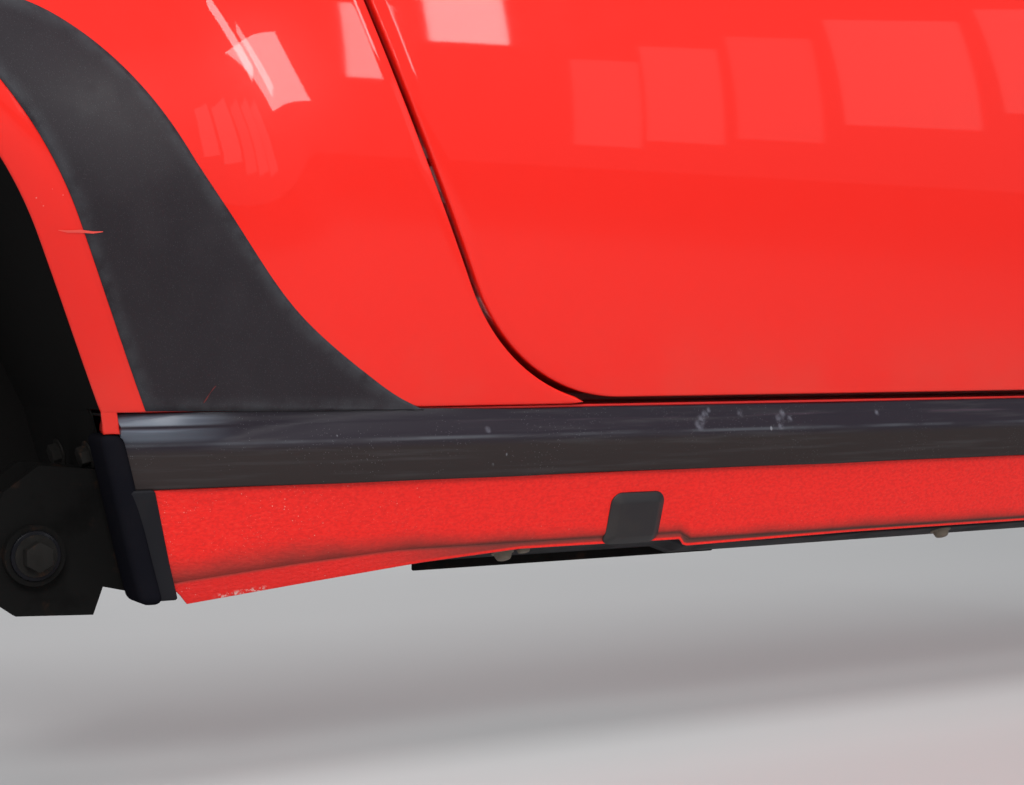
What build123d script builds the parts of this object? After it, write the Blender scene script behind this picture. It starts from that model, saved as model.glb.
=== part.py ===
from build123d import *

import math
import os

# Right-hand body side of an open two-seat sports car: sill, rear wing, lock post, hinge post and door.
# Millimetres. +X is forward, +Y inboard, +Z up. The origin is on the flat inboard face of the sill,
# where the floor is welded on. Outer skins face -Y. The ground is 225 below the origin.

# Flank, seen from the front: one large arc, a shoulder arc and a flat waist
BARREL_R = 1400.0
WIDEST_Y = -202.0
WIDEST_Z = 395.0
WAIST_Z = 640.0
SHOULDER_R = 50.0
TAIL_R = 2600.0         # plan radius of the wing behind the axle
BARREL_Y = WIDEST_Y + BARREL_R

# Sheet and flanges
SKIN_T = 2.5
FLANGE = 20.0
SEAT_GAP = 0.3          # between pieces that seat on curved faces
FAR = 900.0             # longer than any piece is deep

# Wheel opening and flare
AXLE_X = -1188.0
AXLE_Z = 78.0
ARCH_R = 345.0
ARCH_LEAN = 26.0        # degrees from upright of the opening's straight front edge
SILL_LEAN = 15.5        # and of its lowest part, which is the sill's rear end
FLARE_REACH = 230.0
FLARE_TOP_Z = 596.0
FLARE_FOOT = 12.0
FLARE_RISE = 66.0
FLARE_LOW_Z = 40.0
FLARE_HIGH_Z = 350.0
FLARE_MERGE = 2.5       # how far the flare's outer edge dips under the flank

# Door opening
SHUT_GAP = 5.5
SHUT_X = -330.0         # centre of the shut line's rear lower corner
SHUT_Z = 276.0
SHUT_R = 176.0
SHUT_LEAN = 25.0        # degrees from upright of the shut line above the corner
DOOR_FRONT_X = 560.0
DOOR_INNER_Y = -104.0
DOOR_WAIST_Y = -128.0   # inboard edge of the outer skin's flat waist

# Sill
SILL_FRONT_X = 740.0
SILL_REAR_X = -830.0    # before the slanted end is cut
LEDGE_Z = SHUT_Z - SHUT_R - SHUT_GAP / 2
STEP_Y = -82.0
TREAD_Z = 150.0
SILL_LOW_Z = -35.0
SILL_WALL_Y = -163.0
SILL_WALL_LOW_Z = 38.0
LEDGE_Y = SILL_WALL_Y - 2.8
SILL_BEND = (-146.0, -18.0)
SILL_UNDER_Y = -103.0

# Wing
WING_REAR_X = -1640.0
WING_IN_Y = -60.0
WING_LOW_REAR_Z = 60.0

# Hinge line
HINGE_X = 575.0
HINGE_Y = -150.0
HINGE_Z = (220.0, 500.0)
PIN_R = 5.0
KNUCKLE_R = 9.0
KNUCKLE_H = 22.0
POST_REAR_X = 592.0
POST_FRONT_X = 672.0
POST_OUT_Y = -138.0
POST_IN_Y = -20.0


def prism(face, near_y, far_y):
    """A side-view outline as a solid from near_y (inboard) out to far_y."""
    plane = Plane((0, near_y, 0), x_dir=(1, 0, 0), z_dir=(0, -1, 0))
    return extrude(plane * face, near_y - far_y)


def side_rect(x0, z0, x1, z1):
    return make_face(Polyline((x0, z0), (x1, z0), (x1, z1), (x0, z1), close=True))


def along(points, x0, x1):
    """A section drawn in (y, z), extruded from x0 forward to x1."""
    section = make_face(Polyline(*points, close=True))
    return extrude(Plane.YZ.offset(x0) * section, x1 - x0)


def block(x0, y0, z0, x1, y1, z1):
    size = Box(x1 - x0, y1 - y0, z1 - z0)
    return Pos((x0 + x1) / 2, (y0 + y1) / 2, (z0 + z1) / 2) * size


def rod(start, end, radius):
    """A round bar between two points."""
    way = Vector(*end) - Vector(*start)
    return extrude(Plane(start, z_dir=way) * Circle(radius), way.length)


# Forms of the skin

def side_y(z, depth=0.0):
    """Y of the flank at height z, this far under the paint."""
    return BARREL_Y - math.sqrt((BARREL_R - depth) ** 2 - (z - WIDEST_Z) ** 2)


def flank_section(depth, low_z, in_y):
    big, small = BARREL_R - depth, SHOULDER_R - depth
    centre_z = WAIST_Z - SHOULDER_R
    rise = centre_z - WIDEST_Z
    centre_y = BARREL_Y - math.sqrt((BARREL_R - SHOULDER_R) ** 2 - rise ** 2)
    lean = math.atan2(rise, BARREL_Y - centre_y)
    half = (lean + math.pi / 2) / 2
    low = (side_y(low_z, depth), low_z)
    join = (BARREL_Y - big * math.cos(lean), WIDEST_Z + big * math.sin(lean))
    middle_z = (low_z + join[1]) / 2
    shoulder = (centre_y - small * math.cos(half), centre_z + small * math.sin(half))
    top = (centre_y, WAIST_Z - depth)
    return make_face([
        Line((in_y, low_z), low),
        ThreePointArc(low, (side_y(middle_z, depth), middle_z), join),
        ThreePointArc(join, shoulder, top),
        Line(top, (in_y, WAIST_Z - depth)),
        Line((in_y, WAIST_Z - depth), (in_y, low_z)),
    ])


def door_form(depth, in_y):
    """Everything behind the door's skin, this far under the paint."""
    section = flank_section(depth, 20.0, in_y)
    return extrude(Plane.YZ.offset(AXLE_X) * section, FAR * 2)


def smooth(u):
    u = min(max(u, 0.0), 1.0)
    return u * u * (3 - 2 * u)


def tail_in(x):
    back = max(0.0, AXLE_X - x)
    return TAIL_R - math.sqrt(TAIL_R ** 2 - back ** 2)


def arch_point(angle, drop, out):
    """Side-view point this far outside the wheel opening's edge."""
    c, s = math.cos(math.radians(angle)), math.sin(math.radians(angle))
    return AXLE_X + (ARCH_R + out) * c + drop * s, AXLE_Z + (ARCH_R + out) * s - drop * c


def flare_reach(angle):
    s = math.sin(math.radians(angle))
    if s < 0.5:
        return FLARE_REACH
    return min(FLARE_REACH, (FLARE_TOP_Z - AXLE_Z) / s - ARCH_R)


def flare_y(angle, drop, out):
    x, z = arch_point(angle, drop, out)
    edge_z = arch_point(angle, drop, 0)[1]
    height = FLARE_FOOT + FLARE_RISE * smooth((edge_z - FLARE_LOW_Z) / (FLARE_HIGH_Z - FLARE_LOW_Z))
    reach = flare_reach(angle)
    bell = 0.5 * (1 + math.cos(math.pi * out / (reach + 10)))
    return side_y(z) + tail_in(x) - height * bell + FLARE_MERGE * max(out, 0) / reach


def flare_point(angle, drop, out, depth):
    """A point under the flare's skin, along the skin's slope away from the opening."""
    slope = flare_y(angle, drop, out + 0.5) - flare_y(angle, drop, out - 0.5)
    length = math.hypot(1, slope)
    x, z = arch_point(angle, drop, out - slope * depth / length)
    return Vector(x, flare_y(angle, drop, out) + depth / length, z)


# Angle about the axle in degrees, and drop below the straight front edge's upper end
FLARE_STATIONS = [(ARCH_LEAN, 230.0), (ARCH_LEAN, 75.0)]
FLARE_STATIONS += [(ARCH_LEAN + 20.0 * k, 0.0) for k in range(9)]
FLARE_COLUMNS = 7


def flare_form(depth, in_depth):
    rows = []
    for angle, drop in FLARE_STATIONS:
        span = flare_reach(angle) + 28
        outs = [-20 + span * k / (FLARE_COLUMNS - 1) for k in range(FLARE_COLUMNS)]
        rows.append([flare_point(angle, drop, out, depth) for out in outs])
    face = Face.make_surface_from_array_of_points(rows, tol=0.3, min_deg=3, max_deg=3)
    return extrude(face, amount=in_depth, dir=(0, 1, 0))


def wing_form(depth, in_y):
    """Everything behind the wing's skin, this far under the paint."""
    section = Plane.YZ.offset(AXLE_X) * flank_section(depth, 20.0, in_y)
    front = extrude(section, FAR)
    turn = Axis((AXLE_X, WIDEST_Y + TAIL_R, 0), (0, 0, -1))
    return front + revolve(section, turn, 12.0) + flare_form(depth, 120.0)


# Outlines in side view

def arch_region(out):
    """The wheel opening, this much larger all round, down to the sill and then along the sill's rear end."""
    radius = ARCH_R + out
    lean = math.radians(ARCH_LEAN)
    tangent = (AXLE_X + radius * math.cos(lean), AXLE_Z + radius * math.sin(lean))
    knee = (tangent[0] + (tangent[1] - LEDGE_Z) * math.tan(lean), LEDGE_Z)
    fall = FAR / 3
    foot = (knee[0] + fall * math.tan(math.radians(SILL_LEAN)), knee[1] - fall)
    back = (AXLE_X - radius, AXLE_Z)
    crown = (AXLE_X + radius * math.cos(math.radians(100)), AXLE_Z + radius * math.sin(math.radians(100)))
    return make_face([
        ThreePointArc(tangent, crown, back),
        Line(back, (back[0], foot[1])),
        Line((back[0], foot[1]), foot),
        Line(foot, knee),
        Line(knee, tangent),
    ])


def shut_region(out, front_x, top_z=WAIST_Z + 100):
    """The door's outline, grown by out from the middle of the shut gap."""
    radius = SHUT_R + out
    lean = math.radians(SHUT_LEAN)
    low = (SHUT_X, SHUT_Z - radius)
    corner = (SHUT_X - radius * math.cos(lean), SHUT_Z - radius * math.sin(lean))
    half = (math.radians(SHUT_LEAN) + math.pi / 2) / 2
    middle = (SHUT_X - radius * math.cos(half), SHUT_Z - radius * math.sin(half))
    top_x = corner[0] - (top_z - corner[1]) * math.tan(lean)
    return make_face([
        ThreePointArc(low, middle, corner),
        Line(corner, (top_x, top_z)),
        Line((top_x, top_z), (front_x, top_z)),
        Line((front_x, top_z), (front_x, low[1])),
        Line((front_x, low[1]), low),
    ])


def door_region(inset):
    return shut_region(-SHUT_GAP / 2 - inset, DOOR_FRONT_X - inset)


def shut_point(z, out):
    """A point beside the leaning part of the shut line, at about this height."""
    lean = math.radians(SHUT_LEAN)
    x = SHUT_X - SHUT_R * math.cos(lean)
    x -= (z - (SHUT_Z - SHUT_R * math.sin(lean))) * math.tan(lean)
    return x - out * math.cos(lean), z - out * math.sin(lean)


def wing_outline(inset):
    """The wing's side view, without the wheel opening, this much smaller."""
    low = LEDGE_Z + inset
    rear_low = WING_LOW_REAR_Z + inset
    points = [(WING_REAR_X + inset, rear_low), (AXLE_X, rear_low), (AXLE_X, low), (SHUT_X, low),
              (SHUT_X, FAR), (WING_REAR_X + inset, FAR)]
    outline = make_face(Polyline(*points, close=True))
    return outline - shut_region(SHUT_GAP / 2 + inset, FAR) - arch_region(inset)


# Fixed body side

def wing_panel():
    """Outer skin with flanges turned in round the wheel opening, door, waist and rear edge."""
    skin = wing_form(0.0, WING_IN_Y)
    hollow = wing_form(SKIN_T, WING_IN_Y - SKIN_T) & prism(wing_outline(SKIN_T), FAR, -FAR)
    behind = wing_form(FLANGE, FAR)
    return (skin - hollow - behind) & prism(wing_outline(0.0), FAR, -FAR)


GUARD_T = 1.5
GUARD_GAP = 0.15
LIP_BARE = 32.0         # painted lip left between the wheel opening and the guard
# Outer edge of the guard, from its tip on the sill up to where it meets the lip.
# Angle about the axle, drop below the straight front edge's upper end, distance from the opening's edge
GUARD_EDGE = [(ARCH_LEAN, 275.0, 256.0), (ARCH_LEAN, 235.0, 226.0), (ARCH_LEAN, 146.0, 180.0),
              (ARCH_LEAN, 42.0, 153.0), (33.4, 0.0, 129.0), (43.6, 0.0, 101.0), (51.0, 0.0, 68.0), (59.5, 0.0, 28.0)]


def guard_outline():
    points = [arch_point(*place) for place in GUARD_EDGE]
    low = arch_point(ARCH_LEAN, GUARD_EDGE[0][1], 0.0)
    area = make_face([
        Spline(*points),
        Line(points[-1], (AXLE_X, AXLE_Z)),
        Line((AXLE_X, AXLE_Z), low),
        Line(low, points[0]),
    ])
    above_sill = side_rect(AXLE_X, LEDGE_Z + 1.5, points[0][0] + 50, AXLE_Z + 2 * ARCH_R)
    return (area & above_sill) - arch_region(LIP_BARE)


def stone_guard():
    """Thin dark sheet stuck on the wing in front of the wheel."""
    outer = wing_form(-GUARD_GAP - GUARD_T, WING_IN_Y)
    inner = wing_form(-GUARD_GAP, FAR)
    return (outer - inner) & prism(guard_outline(), FAR, -FAR)


LINER_T = 2.5
LINER_OUT = SKIN_T + 0.2
LINER_IN_Y = 50.0
AXLE_HOLE_R = 150.0


def wheelhouse():
    """Liner behind the wing's flange, with an inboard wall that the axle passes through."""
    outer = arch_region(LINER_OUT + LINER_T)
    rear_x, front_x = AXLE_X - 2 * ARCH_R, arch_point(ARCH_LEAN, 400.0, 0.0)[0]
    low_rear = WING_LOW_REAR_Z + SKIN_T + SEAT_GAP
    keep = make_face(Polyline((rear_x, low_rear), (AXLE_X - ARCH_R / 2, low_rear), (AXLE_X + ARCH_R, SILL_LOW_Z),
                              (front_x, SILL_LOW_Z), (front_x, WAIST_Z), (rear_x, WAIST_Z), close=True))
    rim = prism((outer - arch_region(LINER_OUT)) & keep, LINER_IN_Y, -FAR)
    below_wing = block(AXLE_X, SILL_WALL_Y + 13, SILL_LOW_Z, front_x, FAR, LEDGE_Z - 30)
    rim = rim & (flare_form(SKIN_T + 6.0, FAR) + below_wing)
    rim -= block(AXLE_X, -FAR, -FAR, front_x, SILL_WALL_Y + FLANGE + 1, LEDGE_Z + SKIN_T + SEAT_GAP)
    hole = Pos(AXLE_X, AXLE_Z) * Circle(AXLE_HOLE_R)
    slot = side_rect(AXLE_X - AXLE_HOLE_R, -FAR, AXLE_X + AXLE_HOLE_R, AXLE_Z)
    return rim + prism((outer & keep) - hole - slot, LINER_IN_Y, LINER_IN_Y - LINER_T)


def inner_quarter_panel():
    """Flat inner skin between the lock post, the wheelhouse and the rear."""
    top = WAIST_Z - SKIN_T - 1
    rear_x, front_x = WING_REAR_X + 15, SHUT_X + 30
    low_rear, low_front = WING_LOW_REAR_Z + 10, TREAD_Z + SKIN_T + 0.5
    outline = make_face(Polyline((rear_x, low_rear), (AXLE_X, low_rear), (AXLE_X, low_front),
                                 (front_x, low_front), (front_x, top), (rear_x, top), close=True))
    outline = outline - arch_region(LINER_OUT + LINER_T + SEAT_GAP)
    outline = outline - shut_region(SHUT_GAP / 2 + SKIN_T, FAR)
    y0, y1 = WING_IN_Y, WING_IN_Y + SKIN_T
    section = make_face(Polyline((y0, 0), (y1, 0), (y1, top), (y0, top), close=True))
    section = Plane.YZ.offset(AXLE_X) * section
    turn = Axis((AXLE_X, WIDEST_Y + TAIL_R, 0), (0, 0, -1))
    sheet = extrude(section, FAR) + revolve(section, turn, 12.0)
    return sheet & prism(outline, FAR, -FAR)


def lock_post():
    """Strip behind the wing's door flange that carries the striker."""
    strip = shut_region(SHUT_GAP / 2 + 2 * SKIN_T, FAR) - shut_region(SHUT_GAP / 2 + SKIN_T, FAR)
    strip = strip & side_rect(-FAR, LEDGE_Z + SKIN_T + SEAT_GAP, SHUT_X, WAIST_Z - FLANGE - SEAT_GAP)
    post = prism(strip, WING_IN_Y, -FAR) & door_form(5.0, WING_IN_Y)
    return post - block(-FAR, STEP_Y - SEAT_GAP, 0, FAR, 0, TREAD_Z + 2.5)


STRIKER_Z = 330.0
STRIKER_Y = -150.0
STRIKER_WIRE_R = 3.5
STRIKER_REACH = 26.0
STRIKER_PLATE_T = 3.0


def striker():
    """Base plate and loop that the door's latch closes on."""
    x, z = shut_point(STRIKER_Z, SHUT_GAP / 2 + SKIN_T)
    lean = math.radians(SHUT_LEAN)
    plane = Plane((x, STRIKER_Y, z), x_dir=(0, 1, 0), z_dir=(math.cos(lean), 0, math.sin(lean)))
    plate = extrude(plane * RectangleRounded(38, 54, 6), STRIKER_PLATE_T)
    tip = STRIKER_REACH - STRIKER_WIRE_R
    corners = [plane.from_local_coords(Vector(side, 0, far)) for side, far in ((-9, 1), (-9, tip), (9, tip), (9, 1))]
    wire = Plane(corners[0], z_dir=plane.z_dir) * Circle(STRIKER_WIRE_R)
    loop = sweep(wire, path=Polyline(*corners), transition=Transition.RIGHT)
    return plate + loop


def arch_cut():
    """Side-view area behind the sill's slanted rear end."""
    return prism(arch_region(LINER_OUT + LINER_T + SEAT_GAP), FAR, -FAR)


SILL_SHEET = 2.5


def rocker_outer():
    """Outer half of the sill box: floor of the door opening, ledge and wall."""
    t = SILL_SHEET
    bend_y, bend_z = SILL_BEND
    points = [(-t, TREAD_Z), (-t, TREAD_Z + t), (STEP_Y, TREAD_Z + t), (STEP_Y, LEDGE_Z),
              (LEDGE_Y, LEDGE_Z), (LEDGE_Y, LEDGE_Z - t), (SILL_WALL_Y, LEDGE_Z - t), (SILL_WALL_Y, SILL_WALL_LOW_Z),
              (bend_y, bend_z), (SILL_UNDER_Y, SILL_LOW_Z), (-t, SILL_LOW_Z), (-t, SILL_LOW_Z + t),
              (SILL_UNDER_Y, SILL_LOW_Z + t), (bend_y + t, bend_z + t), (SILL_WALL_Y + t, SILL_WALL_LOW_Z),
              (SILL_WALL_Y + t, LEDGE_Z - t), (STEP_Y + t, LEDGE_Z - t), (STEP_Y + t, TREAD_Z)]
    return along(points, SILL_REAR_X, SILL_FRONT_X) - arch_cut() - jack_hole(4.0)


def rocker_inner():
    """Inner half of the sill box; its flat face is the seat for the floor."""
    t = SILL_SHEET
    low, high, lap = SILL_LOW_Z + t, TREAD_Z, 22.0
    points = [(0, low), (0, high), (-lap, high), (-lap, high - t), (-t, high - t), (-t, low + t),
              (-lap, low + t), (-lap, low)]
    return along(points, SILL_REAR_X, SILL_FRONT_X) - arch_cut()


def sill_tread_plate():
    """Step plate on the sill, inside the door."""
    base = TREAD_Z + SILL_SHEET
    plate = block(-420, STEP_Y + 4, base, 540, -20, base + 3)
    for k in range(5):
        y = STEP_Y + 14 + k * 9
        plate += block(-400, y, base + 3, 520, y + 3, base + 4.2)
    return plate


STRIP_TOP_Z = LEDGE_Z - SILL_SHEET
STRIP_LOW_Z = 36.0
CREST_Z = 72.0


def sill_strip():
    """Rubber strip along the sill, folded to a crest in its upper third."""
    points = [(SILL_WALL_Y, STRIP_TOP_Z), (-167, STRIP_TOP_Z), (-170, 92), (-179, CREST_Z), (-179, CREST_Z - 6),
              (-175, STRIP_LOW_Z), (SILL_WALL_Y, STRIP_LOW_Z)]
    return along(points, SILL_REAR_X, SILL_FRONT_X) - prism(arch_region(STRIP_CUT), FAR, -FAR)


COVER_T = 2.5
COVER_TOP = (-169.0, STRIP_LOW_Z)
COVER_LOW = (-151.0, -20.0)
COVER_UNDER = (-105.0, -38.0)
# Lip that hangs from the cover, deepest at its rear end: side view
COVER_LIP = [(-732, -19.8), (-732, -58), (-634, -48), (-521, -37), (-422, -30), (-250, -30), (-240, -37),
             (-43, -34), (SILL_FRONT_X, -33), (SILL_FRONT_X, -19.8)]


def sill_cover():
    """Painted cover below the strip, tucked under the sill, with a lip hanging from it."""
    t = COVER_T
    points = [COVER_TOP, (-152.6, -15), (-150.6, -19), (-146, -22), COVER_UNDER, (-105, -38 + t),
              (-145, -22 + t), (-148.6, -17.6), (-150.1, -15), (COVER_TOP[0] + t, STRIP_LOW_Z)]
    sheet = along(points, SILL_REAR_X, SILL_FRONT_X)
    sheet = sheet - prism(arch_region(COVER_CUT), FAR, -FAR) - jack_hole(0.0)
    lip = prism(make_face(Polyline(*COVER_LIP, close=True)), -146.0, -148.5)
    plug_room = prism(side_rect(JACK_X - PLUG_W / 2 - 2, -FAR, JACK_X + PLUG_W / 2 + 2, FAR), 0, -FAR)
    return sheet + (lip - plug_room)


STRIP_CUT = 16.5
COVER_CUT = 27.0
CAP_OUT_Y = -174.0
CAP_FRONT_T = 4.0
CAP_T = 6.0
CAP_LOW_Z = -56.0
CAP_TOP_Z = 82.0


def sill_end_cap_rear():
    """Dark cap over the sill's rear end, with a rim wrapped round its outer side."""
    near, far = arch_region(SKIN_T - CAP_T), arch_region(SKIN_T)
    plate = prism((far - near) & side_rect(-900, CAP_LOW_Z, -600, CAP_TOP_Z), -130, -175)
    bulb = prism((arch_region(STRIP_CUT - 0.5) - near) & side_rect(-900, CAP_LOW_Z, -600, CAP_TOP_Z), -165.5, -175)
    rim = prism((arch_region(COVER_CUT - 0.5) - near) & side_rect(-900, CAP_LOW_Z, -600, STRIP_LOW_Z - 1), -170, -175)
    return plate + bulb + rim


def sill_end_cap_front():
    lap = 3.0
    section = [(-SILL_SHEET, TREAD_Z), (STEP_Y, TREAD_Z), (STEP_Y, LEDGE_Z), (CAP_OUT_Y, LEDGE_Z - lap),
               (CAP_OUT_Y, SILL_WALL_LOW_Z), (SILL_BEND[0] - lap - 1, SILL_BEND[1] - lap + 1),
               (SILL_UNDER_Y - 1, SILL_LOW_Z - lap), (-SILL_SHEET, SILL_LOW_Z - 1)]
    return along(section, SILL_FRONT_X, SILL_FRONT_X + CAP_FRONT_T)


# Jack point: a square tube behind the cover, closed by a pull-out plug
JACK_X = -303.0
JACK_Z = -8.0
JACK_HOLE_W = 44.0
JACK_HOLE_H = 34.0
TUBE_T = 3.0
PLUG_W = 58.0
PLUG_H = 49.0
PLUG_T = 4.0
COVER_SLOPE = math.atan2(COVER_LOW[0] - COVER_TOP[0], COVER_TOP[1] - COVER_LOW[1])


def jack_hole(grow):
    hole = side_rect(JACK_X - JACK_HOLE_W / 2 - grow, JACK_Z - JACK_HOLE_H / 2 - grow,
                     JACK_X + JACK_HOLE_W / 2 + grow, JACK_Z + JACK_HOLE_H / 2 + grow)
    return prism(hole, -100, -FAR)


def jack_socket():
    """Square tube across the sill that takes the jack's arm."""
    outer = side_rect(JACK_X - JACK_HOLE_W / 2 - TUBE_T, JACK_Z - JACK_HOLE_H / 2 - TUBE_T,
                      JACK_X + JACK_HOLE_W / 2 + TUBE_T, JACK_Z + JACK_HOLE_H / 2 + TUBE_T)
    tube = prism(outer, -SILL_SHEET, -FAR) - prism(side_rect(
        JACK_X - JACK_HOLE_W / 2, JACK_Z - JACK_HOLE_H / 2,
        JACK_X + JACK_HOLE_W / 2, JACK_Z + JACK_HOLE_H / 2), -12, -FAR)
    behind = [(COVER_TOP[0] + COVER_T + 1, COVER_TOP[1]), (-149.2, -15), (-144, -22.0 + COVER_T + 1), (-105, SILL_LOW_Z),
              (0, SILL_LOW_Z), (0, COVER_TOP[1])]
    floor = block(-FAR, -FAR, SILL_LOW_Z + SILL_SHEET, FAR, 0, 100)
    return tube & along(behind, -FAR, FAR) & floor


def jack_plug():
    """Bevelled rubber plug: a cap on the cover's face and a skirt in the hole."""
    mid_y = (COVER_TOP[0] + COVER_LOW[0]) / 2 + (JACK_Z - (COVER_TOP[1] + COVER_LOW[1]) / 2) * -math.tan(COVER_SLOPE)
    face = Plane((JACK_X, mid_y - SEAT_GAP, JACK_Z), x_dir=(1, 0, 0),
                 z_dir=(0, -math.cos(COVER_SLOPE), -math.sin(COVER_SLOPE)))
    cap = extrude(face * RectangleRounded(PLUG_W, PLUG_H, 8), PLUG_T, taper=35)
    skirt = prism(side_rect(JACK_X - JACK_HOLE_W / 2 + 1, JACK_Z - JACK_HOLE_H / 2 + 1,
                            JACK_X + JACK_HOLE_W / 2 - 1, JACK_Z + JACK_HOLE_H / 2 - 1), -138, -FAR)
    hollow = prism(side_rect(JACK_X - JACK_HOLE_W / 2 + 4, JACK_Z - JACK_HOLE_H / 2 + 4,
                             JACK_X + JACK_HOLE_W / 2 - 4, JACK_Z + JACK_HOLE_H / 2 - 4), -138, -FAR)
    behind = face.offset(1.0)
    keep = extrude(behind * Rectangle(200, 200), -60)
    return cap + ((skirt - hollow) & keep)


def underbody_bracket():
    """Jacking pad and pipe bracket under the sill."""
    t = 3.0
    low = SILL_LOW_Z - 3.0
    plate = block(-510, -98, low, -160, -12, low + t)
    web = block(-500, -92, low - 14, -170, -92 + t, low)
    pad = block(-380, -84, low - 10, -300, -24, low)
    return plate + web + pad


# Bracket in side view, from the wheel opening's lower front corner
BRACKET_EAR = [(50, -50), (-30, -42), (-58, -62), (-71, -100), (-67, -147), (-49, -160), (13, -163), (21, -141),
               (50, -148)]
BRACKET_BUSH = (-36.0, -112.0)
BRACKET_EAR_YS = (-120.0, -60.0)
BRACKET_EAR_T = 10.0
BUSH_R = 24.0


def suspension_bracket():
    """Cast bracket and bush for the trailing link, on the wheelhouse's front wall."""
    corner_x = arch_point(ARCH_LEAN, (arch_point(ARCH_LEAN, 0.0, 0.0)[1] - LEDGE_Z)
                          / math.cos(math.radians(ARCH_LEAN)), 0.0)[0]
    ear = make_face(Polyline(*[(corner_x + x, LEDGE_Z + z) for x, z in BRACKET_EAR], close=True))
    ears = Part()
    for y in BRACKET_EAR_YS:
        ears += prism(ear & arch_region(LINER_OUT), y + BRACKET_EAR_T, y)
    x, z = corner_x + BRACKET_BUSH[0], LEDGE_Z + BRACKET_BUSH[1]
    return ears + rod((x, BRACKET_EAR_YS[1] + 2 * BRACKET_EAR_T, z), (x, BRACKET_EAR_YS[0] - BRACKET_EAR_T, z), BUSH_R)


def hinge_post():
    """Box section that carries the door's hinges, standing on the sill."""
    outline = [(LEDGE_Z, POST_OUT_Y), (LEDGE_Z, STEP_Y - SEAT_GAP), (TREAD_Z + 2.5, STEP_Y - SEAT_GAP),
               (TREAD_Z + 2.5, POST_IN_Y), (WAIST_Z - 20, POST_IN_Y), (WAIST_Z - 20, POST_OUT_Y - 24),
               (WAIST_Z - 60, POST_OUT_Y - 24), (WAIST_Z - 120, POST_OUT_Y)]
    points = [(y, z) for z, y in outline]
    post = along(points, POST_REAR_X, POST_FRONT_X)
    inside = block(POST_REAR_X + 3, POST_OUT_Y + 3, TREAD_Z + 10, POST_FRONT_X + 1, POST_IN_Y - 3, WAIST_Z - 23)
    return post - inside


def door_seal():
    """Rubber seal round the body's door opening, on the post and the step."""
    ring = shut_region(SHUT_GAP / 2 + SKIN_T - SEAT_GAP, FAR) - shut_region(SHUT_GAP / 2 + SKIN_T - 10.0, FAR)
    upright = ring & side_rect(-FAR, TREAD_Z + 20, -300, WAIST_Z - FLANGE - 2)
    post_part = prism(upright, WING_IN_Y - 4, WING_IN_Y - 16)
    return post_part


# Hinges

def fixed_hinge(z):
    """Two knuckles on a plate on the post's rear face, with the pin."""
    plate = block(POST_REAR_X - 4, POST_OUT_Y, z - 34, POST_REAR_X, POST_OUT_Y + 60, z + 34)
    leaf = Part()
    for side in (-1, 1):
        centre = z + side * (KNUCKLE_H + 0.5)
        arm = make_face(Polyline((HINGE_X - 2, HINGE_Y - 4), (HINGE_X + 6, HINGE_Y - 6),
                                 (POST_REAR_X - 2, POST_OUT_Y + 2), (POST_REAR_X - 2, POST_OUT_Y + 22),
                                 (HINGE_X, HINGE_Y + 8), close=True))
        arm_solid = extrude(Plane.XY.offset(centre - KNUCKLE_H / 2) * arm, KNUCKLE_H)
        knuckle = Pos(HINGE_X, HINGE_Y, centre) * Cylinder(KNUCKLE_R, KNUCKLE_H)
        leaf += arm_solid + knuckle
    pin = Pos(HINGE_X, HINGE_Y, z) * Cylinder(PIN_R, 3 * KNUCKLE_H + 8)
    return plate + leaf + pin


def moving_hinge(z):
    """One knuckle between the fixed ones, on an arm from the door's front wall."""
    wall_x = DOOR_FRONT_X - SKIN_T
    arm = make_face(Polyline((wall_x - 16, HINGE_Y + 10), (wall_x - 16, HINGE_Y + 40), (wall_x + 2, HINGE_Y + 40),
                             (HINGE_X + 3, HINGE_Y + 7), (HINGE_X - 7, HINGE_Y - 2), close=True))
    height = KNUCKLE_H - 1
    leaf = extrude(Plane.XY.offset(z - height / 2) * arm, height)
    leaf += Pos(HINGE_X, HINGE_Y, z) * Cylinder(KNUCKLE_R, height)
    leaf -= Pos(HINGE_X, HINGE_Y, z) * Cylinder(PIN_R + 0.3, height)
    plate = block(wall_x - SKIN_T - 4, HINGE_Y + 6, z - 34, wall_x - SKIN_T, HINGE_Y + 42, z + 34)
    return leaf, plate


# Door

def latch_slot():
    """Way for the striker's loop, open to the rear edge and inboard."""
    x, z = shut_point(STRIKER_Z, 0.0)
    lean = math.radians(SHUT_LEAN)
    plane = Plane((x, STRIKER_Y, z), x_dir=(0, 1, 0), z_dir=(math.cos(lean), 0, math.sin(lean)))
    slot = extrude(plane * Pos(40, 0) * Rectangle(118, 2 * STRIKER_WIRE_R + 12), 32)
    return slot + extrude(plane.offset(-10) * Pos(40, 0) * Rectangle(118, 66), 10 + SHUT_GAP / 2 + 3)


def door_skin():
    """Outer skin with its edges turned in, and a flat waist."""
    skin = door_form(0.0, DOOR_WAIST_Y)
    hollow = door_form(SKIN_T, DOOR_WAIST_Y - SKIN_T) & prism(door_region(SKIN_T), FAR, -FAR)
    behind = door_form(FLANGE, FAR)
    return (skin - hollow - behind) & prism(door_region(0.0), FAR, -FAR)


def door_frame():
    """Inner pan: walls inside the skin's turned edges and a flat inner panel."""
    pan = prism(door_region(SKIN_T), DOOR_INNER_Y, -FAR) & door_form(SKIN_T + SEAT_GAP, DOOR_INNER_Y)
    pan -= prism(door_region(2 * SKIN_T), DOOR_INNER_Y - SKIN_T, -FAR)
    pan -= block(-FAR, -160, WAIST_Z - FLANGE - 2, FAR, DOOR_INNER_Y - SKIN_T, WAIST_Z + 10)
    for z in HINGE_Z:
        height = KNUCKLE_H + 5
        pan -= block(DOOR_FRONT_X - 30, HINGE_Y + 2, z - height / 2, DOOR_FRONT_X + 1, HINGE_Y + 44, z + height / 2)
    return pan - latch_slot()


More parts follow.
